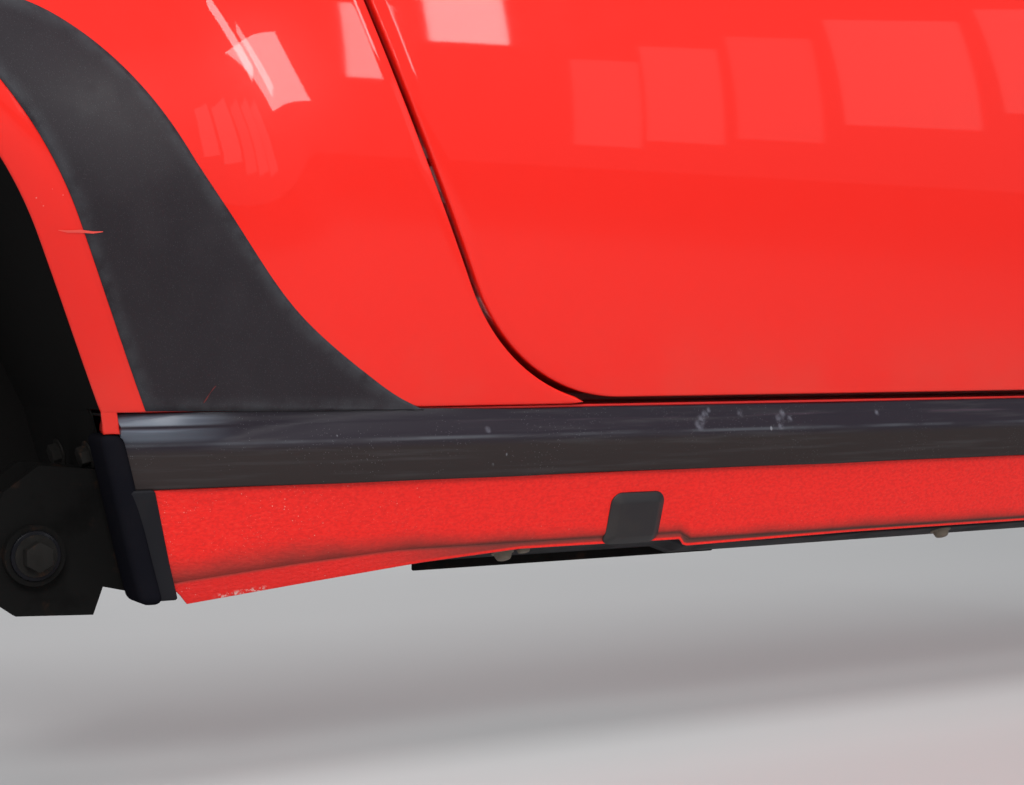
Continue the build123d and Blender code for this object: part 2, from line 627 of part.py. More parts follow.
def door_latch():
    """Latch case inside the door's rear edge, slotted for the striker."""
    x, z = shut_point(STRIKER_Z, 0.0)
    lean = math.radians(SHUT_LEAN)
    plane = Plane((x, STRIKER_Y, z), x_dir=(0, 1, 0), z_dir=(math.cos(lean), 0, math.sin(lean)))
    inset = SHUT_GAP / 2 + 2 * SKIN_T
    case = extrude(plane.offset(inset) * Pos(11, 0) * Rectangle(62, 76), 42)
    return case - latch_slot()


def door_trim_panel():
    """Padded inner panel with an armrest."""
    face = DOOR_INNER_Y
    panel = prism(door_region(16.0) & side_rect(-FAR, 0, FAR, WAIST_Z - 14), face + 12, face)
    rest = prism(make_face(Polyline((-300, 345), (330, 345), (330, 385), (300, 395), (-280, 395), (-300, 380),
                                    close=True)), face + 55, face + 11)
    cup = block(-60, face + 24, 352, 120, face + 46, 396)
    return panel + rest - cup - latch_slot()


GLASS_T = 4.0
GLASS_Y = DOOR_WAIST_Y + 8.0    # outer face of the window
WAIST_SEAL_IN_Y = DOOR_INNER_Y - SKIN_T - 0.5


def window_glass():
    """Side window, wound down until only its upper edge shows."""
    plate = prism(door_region(60.0) & side_rect(-FAR, 260, 500, WAIST_Z + 6), GLASS_Y + GLASS_T, GLASS_Y)
    return plate


def waist_seal(y0, y1):
    return block(-640, y0, WAIST_Z - 10, 540, y1, WAIST_Z + 3)


def door_handle_outer():
    """Pull handle on two feet."""
    z = 560.0
    face_y = side_y(z)
    bar = block(-470, face_y - 36, z - 12, -290, face_y - 24, z + 12)
    bar = fillet(bar.edges().filter_by(Axis.X), 4)
    for x in (-470, -318):
        bar += block(x, face_y - 30, z - 10, x + 28, side_y(z - 10) - SEAT_GAP, z + 10)
    return bar


def mirror_foot():
    base = block(420, -178, WAIST_Z - 4, 500, -132, WAIST_Z + 8)
    arm = make_face(Polyline((435, 646), (490, 646), (468, 742), (444, 742), close=True))
    arm = prism(arm, -165, MIRROR_IN_Y + SEAT_GAP)
    return base + arm - door_form(-SEAT_GAP, FAR)


def mirror_housing():
    """Rounded shell, open at the rear for its glass."""
    rear = mirror_plane(0.0)
    outline = cut_rectangle(MIRROR_W, MIRROR_H, MIRROR_CORNER)
    shell = extrude(rear * outline, MIRROR_REAR_T + MIRROR_FRONT_T)
    nose = shell.faces().sort_by(Axis.X)[-1]
    shell = chamfer(nose.edges(), length=MIRROR_TAPER, length2=MIRROR_FRONT_T, reference=nose)
    pocket = cut_rectangle(MIRROR_W - 2 * MIRROR_RIM, MIRROR_H - 2 * MIRROR_RIM, MIRROR_CORNER - MIRROR_RIM / 2)
    return shell - extrude(rear * pocket, 2 * MIRROR_GLASS_T)


MIRROR_X = 440.0
MIRROR_IN_Y = -215.0
MIRROR_Z = 730.0
MIRROR_W = 185.0
MIRROR_H = 120.0
MIRROR_CORNER = 24.0
MIRROR_REAR_T = 30.0
MIRROR_FRONT_T = 50.0
MIRROR_TAPER = 22.0
MIRROR_RIM = 11.0
MIRROR_GLASS_T = 6.0


def mirror_plane(forward):
    middle_y = MIRROR_IN_Y - MIRROR_W / 2
    return Plane((MIRROR_X + forward, middle_y, MIRROR_Z), x_dir=(0, 1, 0), z_dir=(1, 0, 0))


def cut_rectangle(width, height, corner):
    """A rectangle with its corners cut off."""
    w, h = width / 2, height / 2
    points = [(-w, corner - h), (corner - w, -h), (w - corner, -h), (w, corner - h),
              (w, h - corner), (w - corner, h), (corner - w, h), (-w, h - corner)]
    return make_face(Polyline(*points, close=True))


def mirror_glass():
    rim = MIRROR_RIM + 1
    face = cut_rectangle(MIRROR_W - 2 * rim, MIRROR_H - 2 * rim, MIRROR_CORNER - rim / 2 - 0.5)
    return extrude(mirror_plane(MIRROR_GLASS_T) * face, MIRROR_GLASS_T)


def door_pull():
    y = DOOR_INNER_Y + 12
    bar = block(-40, y + 26, 430, 200, y + 38, 452)
    for x in (-40, 176):
        bar += block(x, y, 430, x + 24, y + 30, 452)
    return bar


def inner_release():
    y = DOOR_INNER_Y + 12
    return block(240, y, 470, 330, y + 6, 500) + block(250, y + 6, 480, 310, y + 12, 490)


def write(name, shape):
    os.makedirs("parts", exist_ok=True)
    export_step(shape, f"parts/{name}.step")


def build():
    parts = {
        "wing_panel": wing_panel(),
        "stone_guard": stone_guard(),
        "wheelhouse": wheelhouse(),
        "suspension_bracket": suspension_bracket(),
        "inner_quarter_panel": inner_quarter_panel(),
        "lock_post": lock_post(),
        "striker": striker(),
        "rocker_outer": rocker_outer(),
        "rocker_inner": rocker_inner(),
        "sill_tread_plate": sill_tread_plate(),
        "sill_strip": sill_strip(),
        "sill_cover": sill_cover(),
        "sill_end_cap_rear": sill_end_cap_rear(),
        "sill_end_cap_front": sill_end_cap_front(),
        "jack_socket": jack_socket(),
        "jack_plug": jack_plug(),
        "underbody_bracket": underbody_bracket(),
        "hinge_post": hinge_post(),
        "door_seal": door_seal(),
        "door_skin": door_skin(),
        "door_frame": door_frame(),
        "door_latch": door_latch(),
        "door_trim_panel": door_trim_panel(),
        "window_glass": window_glass(),
        "waist_seal_outer": waist_seal(DOOR_WAIST_Y, GLASS_Y - SEAT_GAP),
        "waist_seal_inner": waist_seal(GLASS_Y + GLASS_T + SEAT_GAP, WAIST_SEAL_IN_Y),
        "door_handle_outer": door_handle_outer(),
        "mirror_foot": mirror_foot(),
        "mirror_housing": mirror_housing(),
        "mirror_glass": mirror_glass(),
        "door_pull": door_pull(),
        "inner_release": inner_release(),
    }
    for name, z in zip(("lower", "upper"), HINGE_Z):
        parts[f"hinge_fixed_{name}"] = fixed_hinge(z)
        leaf, plate = moving_hinge(z)
        parts[f"hinge_moving_{name}"] = leaf + plate
    for name, shape in parts.items():
        write(name, shape)
    return parts


parts = build()
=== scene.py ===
import math

import bmesh
import bpy
from mathutils import Matrix, Vector


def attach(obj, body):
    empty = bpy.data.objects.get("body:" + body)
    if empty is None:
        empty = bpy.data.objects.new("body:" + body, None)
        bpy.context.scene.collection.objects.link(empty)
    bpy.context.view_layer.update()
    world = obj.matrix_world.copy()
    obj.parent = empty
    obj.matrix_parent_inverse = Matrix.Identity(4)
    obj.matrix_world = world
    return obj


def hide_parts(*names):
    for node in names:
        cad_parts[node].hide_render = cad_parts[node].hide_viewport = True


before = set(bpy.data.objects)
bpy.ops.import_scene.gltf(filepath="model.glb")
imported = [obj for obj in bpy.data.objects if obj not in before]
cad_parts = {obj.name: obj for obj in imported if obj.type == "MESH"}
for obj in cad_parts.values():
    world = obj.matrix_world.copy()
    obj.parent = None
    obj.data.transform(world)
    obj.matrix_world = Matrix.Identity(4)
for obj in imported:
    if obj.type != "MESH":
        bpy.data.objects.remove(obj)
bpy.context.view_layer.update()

# Dressing of a car's body side. Shapes are written in millimetres, as in the part's source, and
# put into the frame's metres when a piece is finished. +X is forward, +Y inboard, +Z up.

MM = 0.001

# Flank, repeated from the part's source
BARREL_R = 1400.0
WIDEST_Y = -202.0
WIDEST_Z = 395.0
WAIST_Z = 640.0
SHOULDER_R = 50.0
TAIL_R = 2600.0
BARREL_Y = WIDEST_Y + BARREL_R
SHOULDER_Z = WAIST_Z - SHOULDER_R
SHOULDER_Y = BARREL_Y - math.sqrt((BARREL_R - SHOULDER_R) ** 2 - (SHOULDER_Z - WIDEST_Z) ** 2)
SHOULDER_LEAN = math.atan2(SHOULDER_Z - WIDEST_Z, BARREL_Y - SHOULDER_Y)
JOIN_Z = WIDEST_Z + BARREL_R * math.sin(SHOULDER_LEAN)
ROUND_END = JOIN_Z + SHOULDER_R * (math.pi / 2 - SHOULDER_LEAN)

# Wheel opening and flare
AXLE_X = -1188.0
AXLE_Z = 78.0
ARCH_R = 345.0
ARCH_LEAN = math.radians(26.0)
FLARE_REACH = 230.0
FLARE_TOP_Z = 596.0
FLARE_FOOT = 12.0
FLARE_RISE = 66.0
FLARE_LOW_Z = 40.0
FLARE_HIGH_Z = 350.0
LIP_ROLL_W = 26.0
LIP_ROLL = 5.0

# Door opening
SHUT_GAP = 5.5
SHUT_X = -330.0
SHUT_Z = 276.0
SHUT_R = 176.0
SHUT_LEAN = math.radians(25.0)
DOOR_FRONT_X = 560.0
DOOR_WAIST_Y = -128.0
LEDGE_Z = SHUT_Z - SHUT_R - SHUT_GAP / 2

# Wing
WING_REAR_X = -1640.0
WING_IN_Y = -60.0
WING_LOW_REAR_Z = 60.0

FOLD_R = 2.2            # outer radius where sheet metal is folded
SHEET_T = 1.6
FLANGE = 16.0

# Sill
SILL_WALL_Y = -163.0
STRIP_TOP_Z = LEDGE_Z - 2.5
STRIP_LOW_Z = 36.0
SILL_REAR_X = -830.0
SILL_FRONT_X = 740.0


# Nodes of the materials

COAT_ROUGHNESS = 0.03


def node(tree, kind, **values):
    made = tree.nodes.new(kind)
    for name, value in values.items():
        setattr(made, name, value)
    return made


def connect(tree, value, socket):
    """Puts a number, a colour or another node's output on a socket."""
    if isinstance(value, bpy.types.NodeSocket):
        tree.links.new(value, socket)
    else:
        socket.default_value = value


def new_finish(name, colour, roughness, metallic=0.0, coat=0.0, specular=0.5):
    material = bpy.data.materials.new(name)
    material.use_nodes = True
    material.diffuse_color = (*colour, 1.0)
    tree = material.node_tree
    shader = tree.nodes["Principled BSDF"]
    settings = {"Base Color": (*colour, 1.0), "Roughness": roughness, "Metallic": metallic,
                "Coat Weight": coat, "Coat Roughness": COAT_ROUGHNESS, "Specular IOR Level": specular}
    for socket, value in settings.items():
        shader.inputs[socket].default_value = value
    return material, tree, shader


def object_place(tree, stretch=(1, 1, 1)):
    place = node(tree, "ShaderNodeTexCoord").outputs["Object"]
    mapping = node(tree, "ShaderNodeMapping")
    mapping.inputs["Scale"].default_value = stretch
    tree.links.new(place, mapping.inputs["Vector"])
    return mapping.outputs["Vector"]


def place_along(tree, axis):
    """The place along X, Y or Z, in metres."""
    split = node(tree, "ShaderNodeSeparateXYZ")
    tree.links.new(object_place(tree), split.inputs["Vector"])
    return split.outputs[axis]


def attribute(tree, name):
    """A number that the piece carries on its points."""
    return node(tree, "ShaderNodeAttribute", attribute_name=name).outputs["Fac"]


def noise(tree, per_metre, detail, stretch=(1, 1, 1), roughness=0.6):
    made = node(tree, "ShaderNodeTexNoise")
    made.inputs["Scale"].default_value = per_metre
    made.inputs["Detail"].default_value = detail
    made.inputs["Roughness"].default_value = roughness
    tree.links.new(object_place(tree, stretch), made.inputs["Vector"])
    return made.outputs["Fac"]


def patches(tree, per_metre, detail, low, high, stretch=(1, 1, 1)):
    """Soft-edged patches: 0 where the noise is low, 1 where it is high."""
    return between(tree, noise(tree, per_metre, detail, stretch), low, high)


def cells(tree, per_metre, feature="F1", stretch=(1, 1, 1)):
    """Distance to the middle, or to the edge, of small irregular cells."""
    made = node(tree, "ShaderNodeTexVoronoi", feature=feature)
    made.inputs["Scale"].default_value = per_metre
    tree.links.new(object_place(tree, stretch), made.inputs["Vector"])
    return made.outputs["Distance"]


def specks(tree, per_metre, radius, stretch=(1, 1, 1)):
    """1 inside small scattered spots, 0 outside."""
    return between(tree, cells(tree, per_metre, stretch=stretch), radius, radius * 0.6)


def spot(tree, x, z, radius):
    """1 in the middle of a round spot in side view, 0 outside; in millimetres."""
    away = node(tree, "ShaderNodeVectorMath", operation="DISTANCE")
    tree.links.new(object_place(tree, (1, 0, 1)), away.inputs[0])
    away.inputs[1].default_value = (x * MM, 0, z * MM)
    return between(tree, away.outputs["Value"], radius * MM, radius * 0.2 * MM)


def between(tree, value, low, high):
    """0 at low, 1 at high, smooth in between."""
    made = node(tree, "ShaderNodeMapRange", interpolation_type="SMOOTHSTEP")
    connect(tree, value, made.inputs["Value"])
    connect(tree, low, made.inputs["From Min"])
    connect(tree, high, made.inputs["From Max"])
    return made.outputs["Result"]


def band(tree, value, rise_from, rise_to, fall_from, fall_to):
    """1 from rise_to to fall_from, fading to 0 on both sides."""
    return times(tree, between(tree, value, rise_from, rise_to), between(tree, value, fall_to, fall_from))


def calculated(tree, operation, first, second):
    made = node(tree, "ShaderNodeMath", operation=operation)
    connect(tree, first, made.inputs[0])
    connect(tree, second, made.inputs[1])
    return made.outputs["Value"]


def times(tree, first, *others):
    for other in others:
        first = calculated(tree, "MULTIPLY", first, other)
    return first


def either(tree, first, second):
    """The larger of two numbers."""
    return calculated(tree, "MAXIMUM", first, second)


def level(tree, share, first, second):
    """Number that goes from first to second."""
    made = node(tree, "ShaderNodeMix", data_type="FLOAT")
    connect(tree, share, made.inputs[0])
    connect(tree, first, made.inputs[2])
    connect(tree, second, made.inputs[3])
    return made.outputs[0]


def tint(tree, share, first, second):
    """Colour that goes from first to second."""
    made = node(tree, "ShaderNodeMix", data_type="RGBA")
    connect(tree, share, made.inputs[0])
    for colour, socket in ((first, made.inputs[6]), (second, made.inputs[7])):
        connect(tree, (*colour, 1.0) if isinstance(colour, tuple) else colour, socket)
    return made.outputs[2]


def overlay(tree, colour, cover, *shares):
    """The colour under a cover that hides as much of it as the product of the shares."""
    return tint(tree, times(tree, *shares), colour, cover)


def relief(tree, shader, height, depth_mm, strength):
    """Bump of this depth."""
    bump = node(tree, "ShaderNodeBump")
    bump.inputs["Strength"].default_value = strength
    bump.inputs["Distance"].default_value = depth_mm * MM
    tree.links.new(height, bump.inputs["Height"])
    tree.links.new(bump.outputs["Normal"], shader.inputs["Normal"])


# Paint

RED = (0.91, 0.016, 0.008)
DUST = (0.30, 0.22, 0.15)
DIRT = (0.060, 0.040, 0.028)
BARE_CHIP = (0.72, 0.66, 0.62)
INNER_RED = (0.70, 0.014, 0.010)
UNDERSEAL_BLACK = (0.006, 0.005, 0.005)


def red_paint():
    """Gloss paint with a faint orange peel, a film of dust low down and a few chips."""
    material, tree, shader = new_finish("red_paint", RED, 0.38, coat=0.66, specular=0.12)
    low_down = between(tree, place_along(tree, "Z"), 0.20, 0.085)
    colour = overlay(tree, RED, DUST, low_down, patches(tree, 6, 4, 0.35, 0.75), 0.10)
    near_wheel = between(tree, place_along(tree, "X"), -0.70, -0.86)
    chips = times(tree, specks(tree, 140, 0.09), patches(tree, 9, 2, 0.62, 0.70))
    colour = overlay(tree, colour, BARE_CHIP, chips, near_wheel)
    connect(tree, colour, shader.inputs["Base Color"])
    connect(tree, level(tree, patches(tree, 40, 3, 0.3, 0.7), 0.34, 0.44), shader.inputs["Roughness"])
    relief(tree, shader, noise(tree, 420, 1), 0.012, 0.25)
    return material


def red_satin():
    """Painted inner metal, thinner and duller than the outside, with black underseal at the wheel's end."""
    material, tree, shader = new_finish("red_satin", RED, 0.45, coat=0.35)
    grime = patches(tree, 14, 5, 0.52, 0.78)
    colour = overlay(tree, INNER_RED, DIRT, grime, 0.18)
    at_wheel = between(tree, place_along(tree, "X"), -0.772, -0.780)
    outboard = between(tree, place_along(tree, "Y"), -0.085, -0.092)
    below_ledge = between(tree, place_along(tree, "Z"), 0.150, 0.140)
    colour = overlay(tree, colour, UNDERSEAL_BLACK, at_wheel, outboard, below_ledge)
    connect(tree, colour, shader.inputs["Base Color"])
    connect(tree, level(tree, grime, 0.38, 0.62), shader.inputs["Roughness"])
    relief(tree, shader, noise(tree, 300, 2), 0.03, 0.4)
    return material


# Hollow and crest colours of the coating: painted shade in the grain's hollows and a painted highlight on its
# tops
COATING_HOLLOW_SHADE = (0.60, 0.010, 0.008)
COATING_RED = (0.93, 0.016, 0.010)
COATING_CREST_HIGHLIGHT = (0.98, 0.065, 0.040)
COATING_CHIP = (0.80, 0.44, 0.38)
# The lip colour is painted shade on the lip below the bend, darker towards the wheel
LIP_SHADE = (0.42, 0.007, 0.006)
# The bend colour darkens a brownish band along the cover's lower bend
BEND_BROWN = (0.10, 0.030, 0.022)
LIP_DIRT = (0.055, 0.028, 0.022)
SCRAPED = (0.62, 0.46, 0.42)
# The underside colour is painted shade: the cover's underside turned near-black
UNDERSIDE_SHADE = (0.010, 0.007, 0.006)


def coating_chips(tree, towards_wheel):
    """Stone chips of two sizes, the fine ones mostly near the wheel."""
    coarse = times(tree, specks(tree, 190, 0.11), patches(tree, 12, 2, 0.44, 0.62))
    fine = times(tree, specks(tree, 430, 0.13), patches(tree, 30, 2, 0.44, 0.56))
    return either(tree, coarse, times(tree, fine, level(tree, towards_wheel, 0.10, 0.65)))


def bend_band(tree):
    """Darker brownish band along the cover's lower bend, reaching higher towards the wheel."""
    above_bend = attribute(tree, "above_bend_mm")
    wander = node(tree, "ShaderNodeMath", operation="MULTIPLY_ADD")
    connect(tree, noise(tree, 13, 4), wander.inputs[0])
    wander.inputs[1].default_value = 15.0
    tree.links.new(above_bend, wander.inputs[2])
    reach = level(tree, between(tree, place_along(tree, "X"), -0.40, -0.72), 21.0, 34.0)
    return times(tree, between(tree, wander.outputs[0], reach, 2.0), between(tree, above_bend, -4.0, -1.0))


def lip_dirt(tree):
    """Dirt on the lip but for its clean lower edge, thinner behind the jack hole and none at the rear."""
    before_hole = between(tree, place_along(tree, "X"), -0.249, -0.243)
    behind_hole = times(tree, between(tree, place_along(tree, "X"), -0.60, -0.44), 0.80)
    off_edge = between(tree, attribute(tree, "above_edge_mm"), 1.0, 2.6)
    below_bend = between(tree, attribute(tree, "above_bend_mm"), 2.5, -1.0)
    return times(tree, level(tree, before_hole, behind_hole, 1.0), off_edge, below_bend)


def lip_scrape(tree):
    """Bare scrape on the lip's lower edge near its rear end."""
    place = band(tree, place_along(tree, "X"), -0.712, -0.700, -0.672, -0.660)
    at_edge = between(tree, attribute(tree, "above_edge_mm"), 4.5, 1.0)
    return times(tree, at_edge, place, patches(tree, 420, 4, 0.48, 0.60))


def red_textured():
    """Stone-chip coating: grain with painted shade and highlight, chips, a dark band at the bend, painted
    shade below it.
    """
    material, tree, shader = new_finish("red_textured", RED, 0.42, coat=0.12, specular=0.30)
    grain = noise(tree, 250, 3, (1.0, 1.0, 1.7), 0.55)
    towards_wheel = between(tree, place_along(tree, "X"), -0.20, -0.72)
    below_bend = between(tree, attribute(tree, "above_bend_mm"), -1.0, -4.0)
    shaded_underneath = between(tree, place_along(tree, "Y"), -0.1450, -0.1425)
    darker_band = bend_band(tree)
    chips = coating_chips(tree, towards_wheel)
    # Painted shade in the grain's hollows
    colour = overlay(tree, COATING_RED, COATING_HOLLOW_SHADE, between(tree, grain, 0.55, 0.36), 0.30)
    colour = overlay(tree, colour, COATING_CHIP, chips, level(tree, towards_wheel, 0.30, 0.80))
    # Painted highlight on the grain's tops
    colour = overlay(tree, colour, COATING_CREST_HIGHLIGHT, between(tree, grain, 0.56, 0.68), 0.22)
    # Painted shade on the lip below the bend
    colour = overlay(tree, colour, LIP_SHADE, towards_wheel, below_bend, 0.55)
    # Darker brownish band along the lower bend
    colour = overlay(tree, colour, BEND_BROWN, darker_band, 0.80)
    colour = overlay(tree, colour, LIP_DIRT, lip_dirt(tree), 0.92)
    colour = overlay(tree, colour, SCRAPED, lip_scrape(tree), 0.80)
    # Painted shade on the cover's underside
    colour = overlay(tree, colour, UNDERSIDE_SHADE, shaded_underneath, 0.97)
    connect(tree, colour, shader.inputs["Base Color"])
    connect(tree, level(tree, darker_band, 0.36, 0.75), shader.inputs["Roughness"])
    relief(tree, shader, grain, 0.9, 0.9)
    return material


# Rubber and plastic

# The film's edge colour is a painted highlight along its edge
FILM_DARK = (0.014, 0.010, 0.014)
FILM_CLOUD = (0.022, 0.017, 0.022)
FILM_EDGE_HIGHLIGHT = (0.046, 0.047, 0.054)
FILM_FLECK = (0.10, 0.10, 0.11)


def guard_film():
    """Matt protective sheet with a fine grain, and a painted highlight along its edge."""
    material, tree, shader = new_finish("guard_film", (0.018, 0.014, 0.018), 0.55, specular=0.32)
    edge_highlight = between(tree, attribute(tree, "edge_mm"), 15.0, 0.5)
    cloud = patches(tree, 16, 4, 0.35, 0.70)
    flecks = either(tree, specks(tree, 640, 0.17), specks(tree, 380, 0.10))
    colour = overlay(tree, FILM_DARK, FILM_CLOUD, cloud, 0.5)
    # Painted highlight along the film's edge
    colour = overlay(tree, colour, FILM_EDGE_HIGHLIGHT, edge_highlight, patches(tree, 60, 5, 0.25, 0.62), 0.75)
    colour = overlay(tree, colour, FILM_FLECK, flecks, 0.55)
    connect(tree, colour, shader.inputs["Base Color"])
    connect(tree, level(tree, cloud, 0.46, 0.60), shader.inputs["Roughness"])
    relief(tree, shader, noise(tree, 900, 3), 0.14, 0.7)
    return material


# Painted highlight: the UPPER_SHINE and LOWER_SHINE bands stand in for the sky's reflection at the strip's
# rear end
# Bands along the sill strip, in metres of height: fades in from and to, fades out from and to
UPPER_SHINE = (0.0862, 0.0885, 0.0935, 0.0975)
LOWER_SHINE = (0.0715, 0.0775, 0.0835, 0.0855)
RIDGE = (0.0830, 0.0842, 0.0846, 0.0856)
CREST = (0.0694, 0.0712, 0.0718, 0.0738)
STRIP_BLACK = (0.015, 0.011, 0.018)
STRIP_BROWN = (0.024, 0.016, 0.013)
STRIP_STREAK = (0.060, 0.058, 0.062)
STRIP_SHINE = (0.21, 0.25, 0.31)
RIDGE_PLUM = (0.060, 0.026, 0.050)
CREST_GREY = (0.070, 0.074, 0.088)
RUBBED_GREY = (0.13, 0.13, 0.16)
SCUFF_GREY = (0.26, 0.27, 0.30)
FLECK_GREY = (0.22, 0.22, 0.24)
# Places where the sill strip is rubbed: x, z, radius
RUBBED_SPOTS = [(-247, 76, 6.5), (-242, 81, 6.0), (-237, 86, 5.0), (-232, 90, 3.6), (-153, 73, 4.5),
                (-152, 80, 6.5), (-147, 85, 5.0), (-140, 80, 4.0), (-196, 86, 5.0), (-470, 77, 4.0),
                (-30, 84, 4.0)]


def strip_shine(tree, streaks):
    """Painted highlight: pale bands at the strip's rear end, where it turns in, in place of the sky's
    reflection.
    """
    height = place_along(tree, "Z")
    bands = either(tree, band(tree, height, *UPPER_SHINE), band(tree, height, *LOWER_SHINE))
    at_end = between(tree, place_along(tree, "X"), -0.690, -0.785)
    return times(tree, bands, times(tree, at_end, level(tree, streaks, 0.55, 0.85)))


def strip_rubber():
    """Sill strip: worn rubber with scuffs, brown dust and a painted ground reflection under its crest,
    painted highlight at its end.
    """
    material, tree, shader = new_finish("strip_rubber", (0.018, 0.016, 0.020), 0.40, specular=0.32)
    height = place_along(tree, "Z")
    under_crest = between(tree, height, 0.071, 0.062)
    streaks = patches(tree, 30, 4, 0.50, 0.72, (0.25, 1, 6))
    crest = times(tree, band(tree, height, *CREST), patches(tree, 9, 3, 0.40, 0.66, (1, 1, 3)))
    rubbed = patches(tree, 150, 4, 0.28, 0.66)
    scuffs = times(tree, specks(tree, 60, 0.10, (1, 1, 0.6)), patches(tree, 10, 1, 0.60, 0.64))
    flecks = times(tree, specks(tree, 420, 0.15), patches(tree, 18, 2, 0.45, 0.60))
    # Brown under the crest: dust, and a painted reflection of the ground
    colour = overlay(tree, STRIP_BLACK, STRIP_BROWN, under_crest, 0.75)
    colour = overlay(tree, colour, STRIP_STREAK, streaks, 0.30)
    # Painted highlight bands at the strip's rear end
    colour = overlay(tree, colour, STRIP_SHINE, strip_shine(tree, streaks))
    colour = overlay(tree, colour, RIDGE_PLUM, band(tree, height, *RIDGE), streaks, 0.45)
    colour = overlay(tree, colour, CREST_GREY, crest, 0.70)
    for x, z, radius in RUBBED_SPOTS:
        colour = overlay(tree, colour, RUBBED_GREY, spot(tree, x, z, radius), rubbed, 0.75)
    colour = overlay(tree, colour, SCUFF_GREY, scuffs, 0.6)
    colour = overlay(tree, colour, FLECK_GREY, flecks, 0.5)
    connect(tree, colour, shader.inputs["Base Color"])
    roughness = level(tree, streaks, 0.32, 0.46)
    connect(tree, level(tree, under_crest, roughness, 0.62), shader.inputs["Roughness"])
    relief(tree, shader, noise(tree, 700, 2), 0.02, 0.4)
    return material


def moulded(name, colour, roughness, grain_per_metre, grain_mm, grime=0.3, specular=0.5):
    """Moulded rubber or plastic with a fine grain and settled dust."""
    material, tree, shader = new_finish(name, colour, roughness, specular=specular)
    cloud = patches(tree, 22, 4, 0.45, 0.75)
    dusty = tuple(part * 0.5 + dust * 0.10 + 0.01 for part, dust in zip(colour, DUST))
    connect(tree, overlay(tree, colour, dusty, cloud, grime), shader.inputs["Base Color"])
    connect(tree, level(tree, cloud, roughness - 0.06, roughness + 0.14), shader.inputs["Roughness"])
    relief(tree, shader, noise(tree, grain_per_metre, 3), grain_mm, 0.5)
    return material


def measured(tree, vector, operation, other=(0, 0, 0)):
    """Length of a vector, or its part along another."""
    made = node(tree, "ShaderNodeVectorMath", operation=operation)
    tree.links.new(vector, made.inputs[0])
    made.inputs[1].default_value = other
    return made.outputs["Value"]


# The liner's darkest colour is painted shade on the wheel's side, darker than its black plastic
LINER_SHADED = (0.0045, 0.0040, 0.0038)
LINER_GREY = (0.026, 0.025, 0.024)
LINER_DUSTY = (0.050, 0.043, 0.036)
LINER_SKIN = 3.8            # its outer side, outside the wheel opening's edge
LINER_IN_Y = (0.0486, 0.0492)       # its flat inboard side, in metres


def liner_body_side(tree):
    """1 on the wheelhouse's side that faces the body, 0 on the wheel's side."""
    off_axle = node(tree, "ShaderNodeVectorMath", operation="SUBTRACT")
    tree.links.new(object_place(tree, (1, 0, 1)), off_axle.inputs[0])
    off_axle.inputs[1].default_value = (AXLE_X * MM, 0, AXLE_Z * MM)
    off_axle = off_axle.outputs["Vector"]
    from_axle = measured(tree, off_axle, "LENGTH")
    from_wall = measured(tree, off_axle, "DOT_PRODUCT", (math.cos(ARCH_LEAN), 0, math.sin(ARCH_LEAN)))
    below_round = measured(tree, off_axle, "DOT_PRODUCT", (math.sin(ARCH_LEAN), 0, -math.cos(ARCH_LEAN)))
    reach = level(tree, between(tree, below_round, 0.0, 0.001), from_axle, from_wall)
    skin = (ARCH_R + LINER_SKIN) * MM
    outer = between(tree, reach, skin, skin + 0.0008)
    return either(tree, outer, between(tree, place_along(tree, "Y"), *LINER_IN_Y))


def liner_plastic():
    """Wheelhouse: near-black as painted shade on the wheel's side, dark grey with dust on the side that faces
    the body.
    """
    material, tree, shader = new_finish("liner_black", LINER_SHADED, 0.90, specular=0.12)
    body_side = overlay(tree, LINER_GREY, LINER_DUSTY, patches(tree, 12, 5, 0.40, 0.72), 0.7)
    connect(tree, tint(tree, liner_body_side(tree), LINER_SHADED, body_side), shader.inputs["Base Color"])
    relief(tree, shader, noise(tree, 260, 3), 0.30, 0.5)
    return material


# Metal, leather and glass

RUST = (0.11, 0.045, 0.020)


def metal(name, colour, roughness, metallic, rust=0.0, specular=0.5):
    """Steel or a casting, with stains and, where asked, rust."""
    material, tree, shader = new_finish(name, colour, roughness, metallic, specular=specular)
    stains = patches(tree, 26, 6, 0.48, 0.72)
    stained = tuple(part * 0.6 for part in colour)
    shade = overlay(tree, colour, stained, stains, 0.5)
    shade = overlay(tree, shade, RUST, patches(tree, 45, 5, 0.55, 0.68), rust)
    connect(tree, shade, shader.inputs["Base Color"])
    connect(tree, level(tree, stains, roughness, min(roughness + 0.22, 1.0)), shader.inputs["Roughness"])
    relief(tree, shader, noise(tree, 380, 4), 0.05, 0.45)
    return material


LEATHER = (0.046, 0.042, 0.040)
LEATHER_WORN = (0.075, 0.068, 0.062)


def trim_leather():
    """Charcoal leather grain of the door's inner panel."""
    material, tree, shader = new_finish("trim_leather", (0.048, 0.044, 0.042), 0.46)
    creases = between(tree, cells(tree, 520, "DISTANCE_TO_EDGE"), 0.0, 0.12)
    colour = overlay(tree, LEATHER, LEATHER_WORN, patches(tree, 9, 4, 0.5, 0.75), 0.5)
    connect(tree, colour, shader.inputs["Base Color"])
    connect(tree, level(tree, creases, 0.62, 0.42), shader.inputs["Roughness"])
    relief(tree, shader, creases, 0.12, 0.6)
    return material


def clear_glass():
    material, tree, shader = new_finish("clear_glass", (0.86, 0.95, 0.92), 0.02)
    shader.inputs["Transmission Weight"].default_value = 1.0
    shader.inputs["IOR"].default_value = 1.46
    connect(tree, level(tree, patches(tree, 18, 4, 0.5, 0.8), 0.01, 0.06), shader.inputs["Roughness"])
    return material


def mirror_silver():
    material, tree, shader = new_finish("mirror_silver", (0.88, 0.89, 0.90), 0.02, 1.0)
    connect(tree, level(tree, patches(tree, 30, 4, 0.5, 0.8), 0.015, 0.08), shader.inputs["Roughness"])
    return material


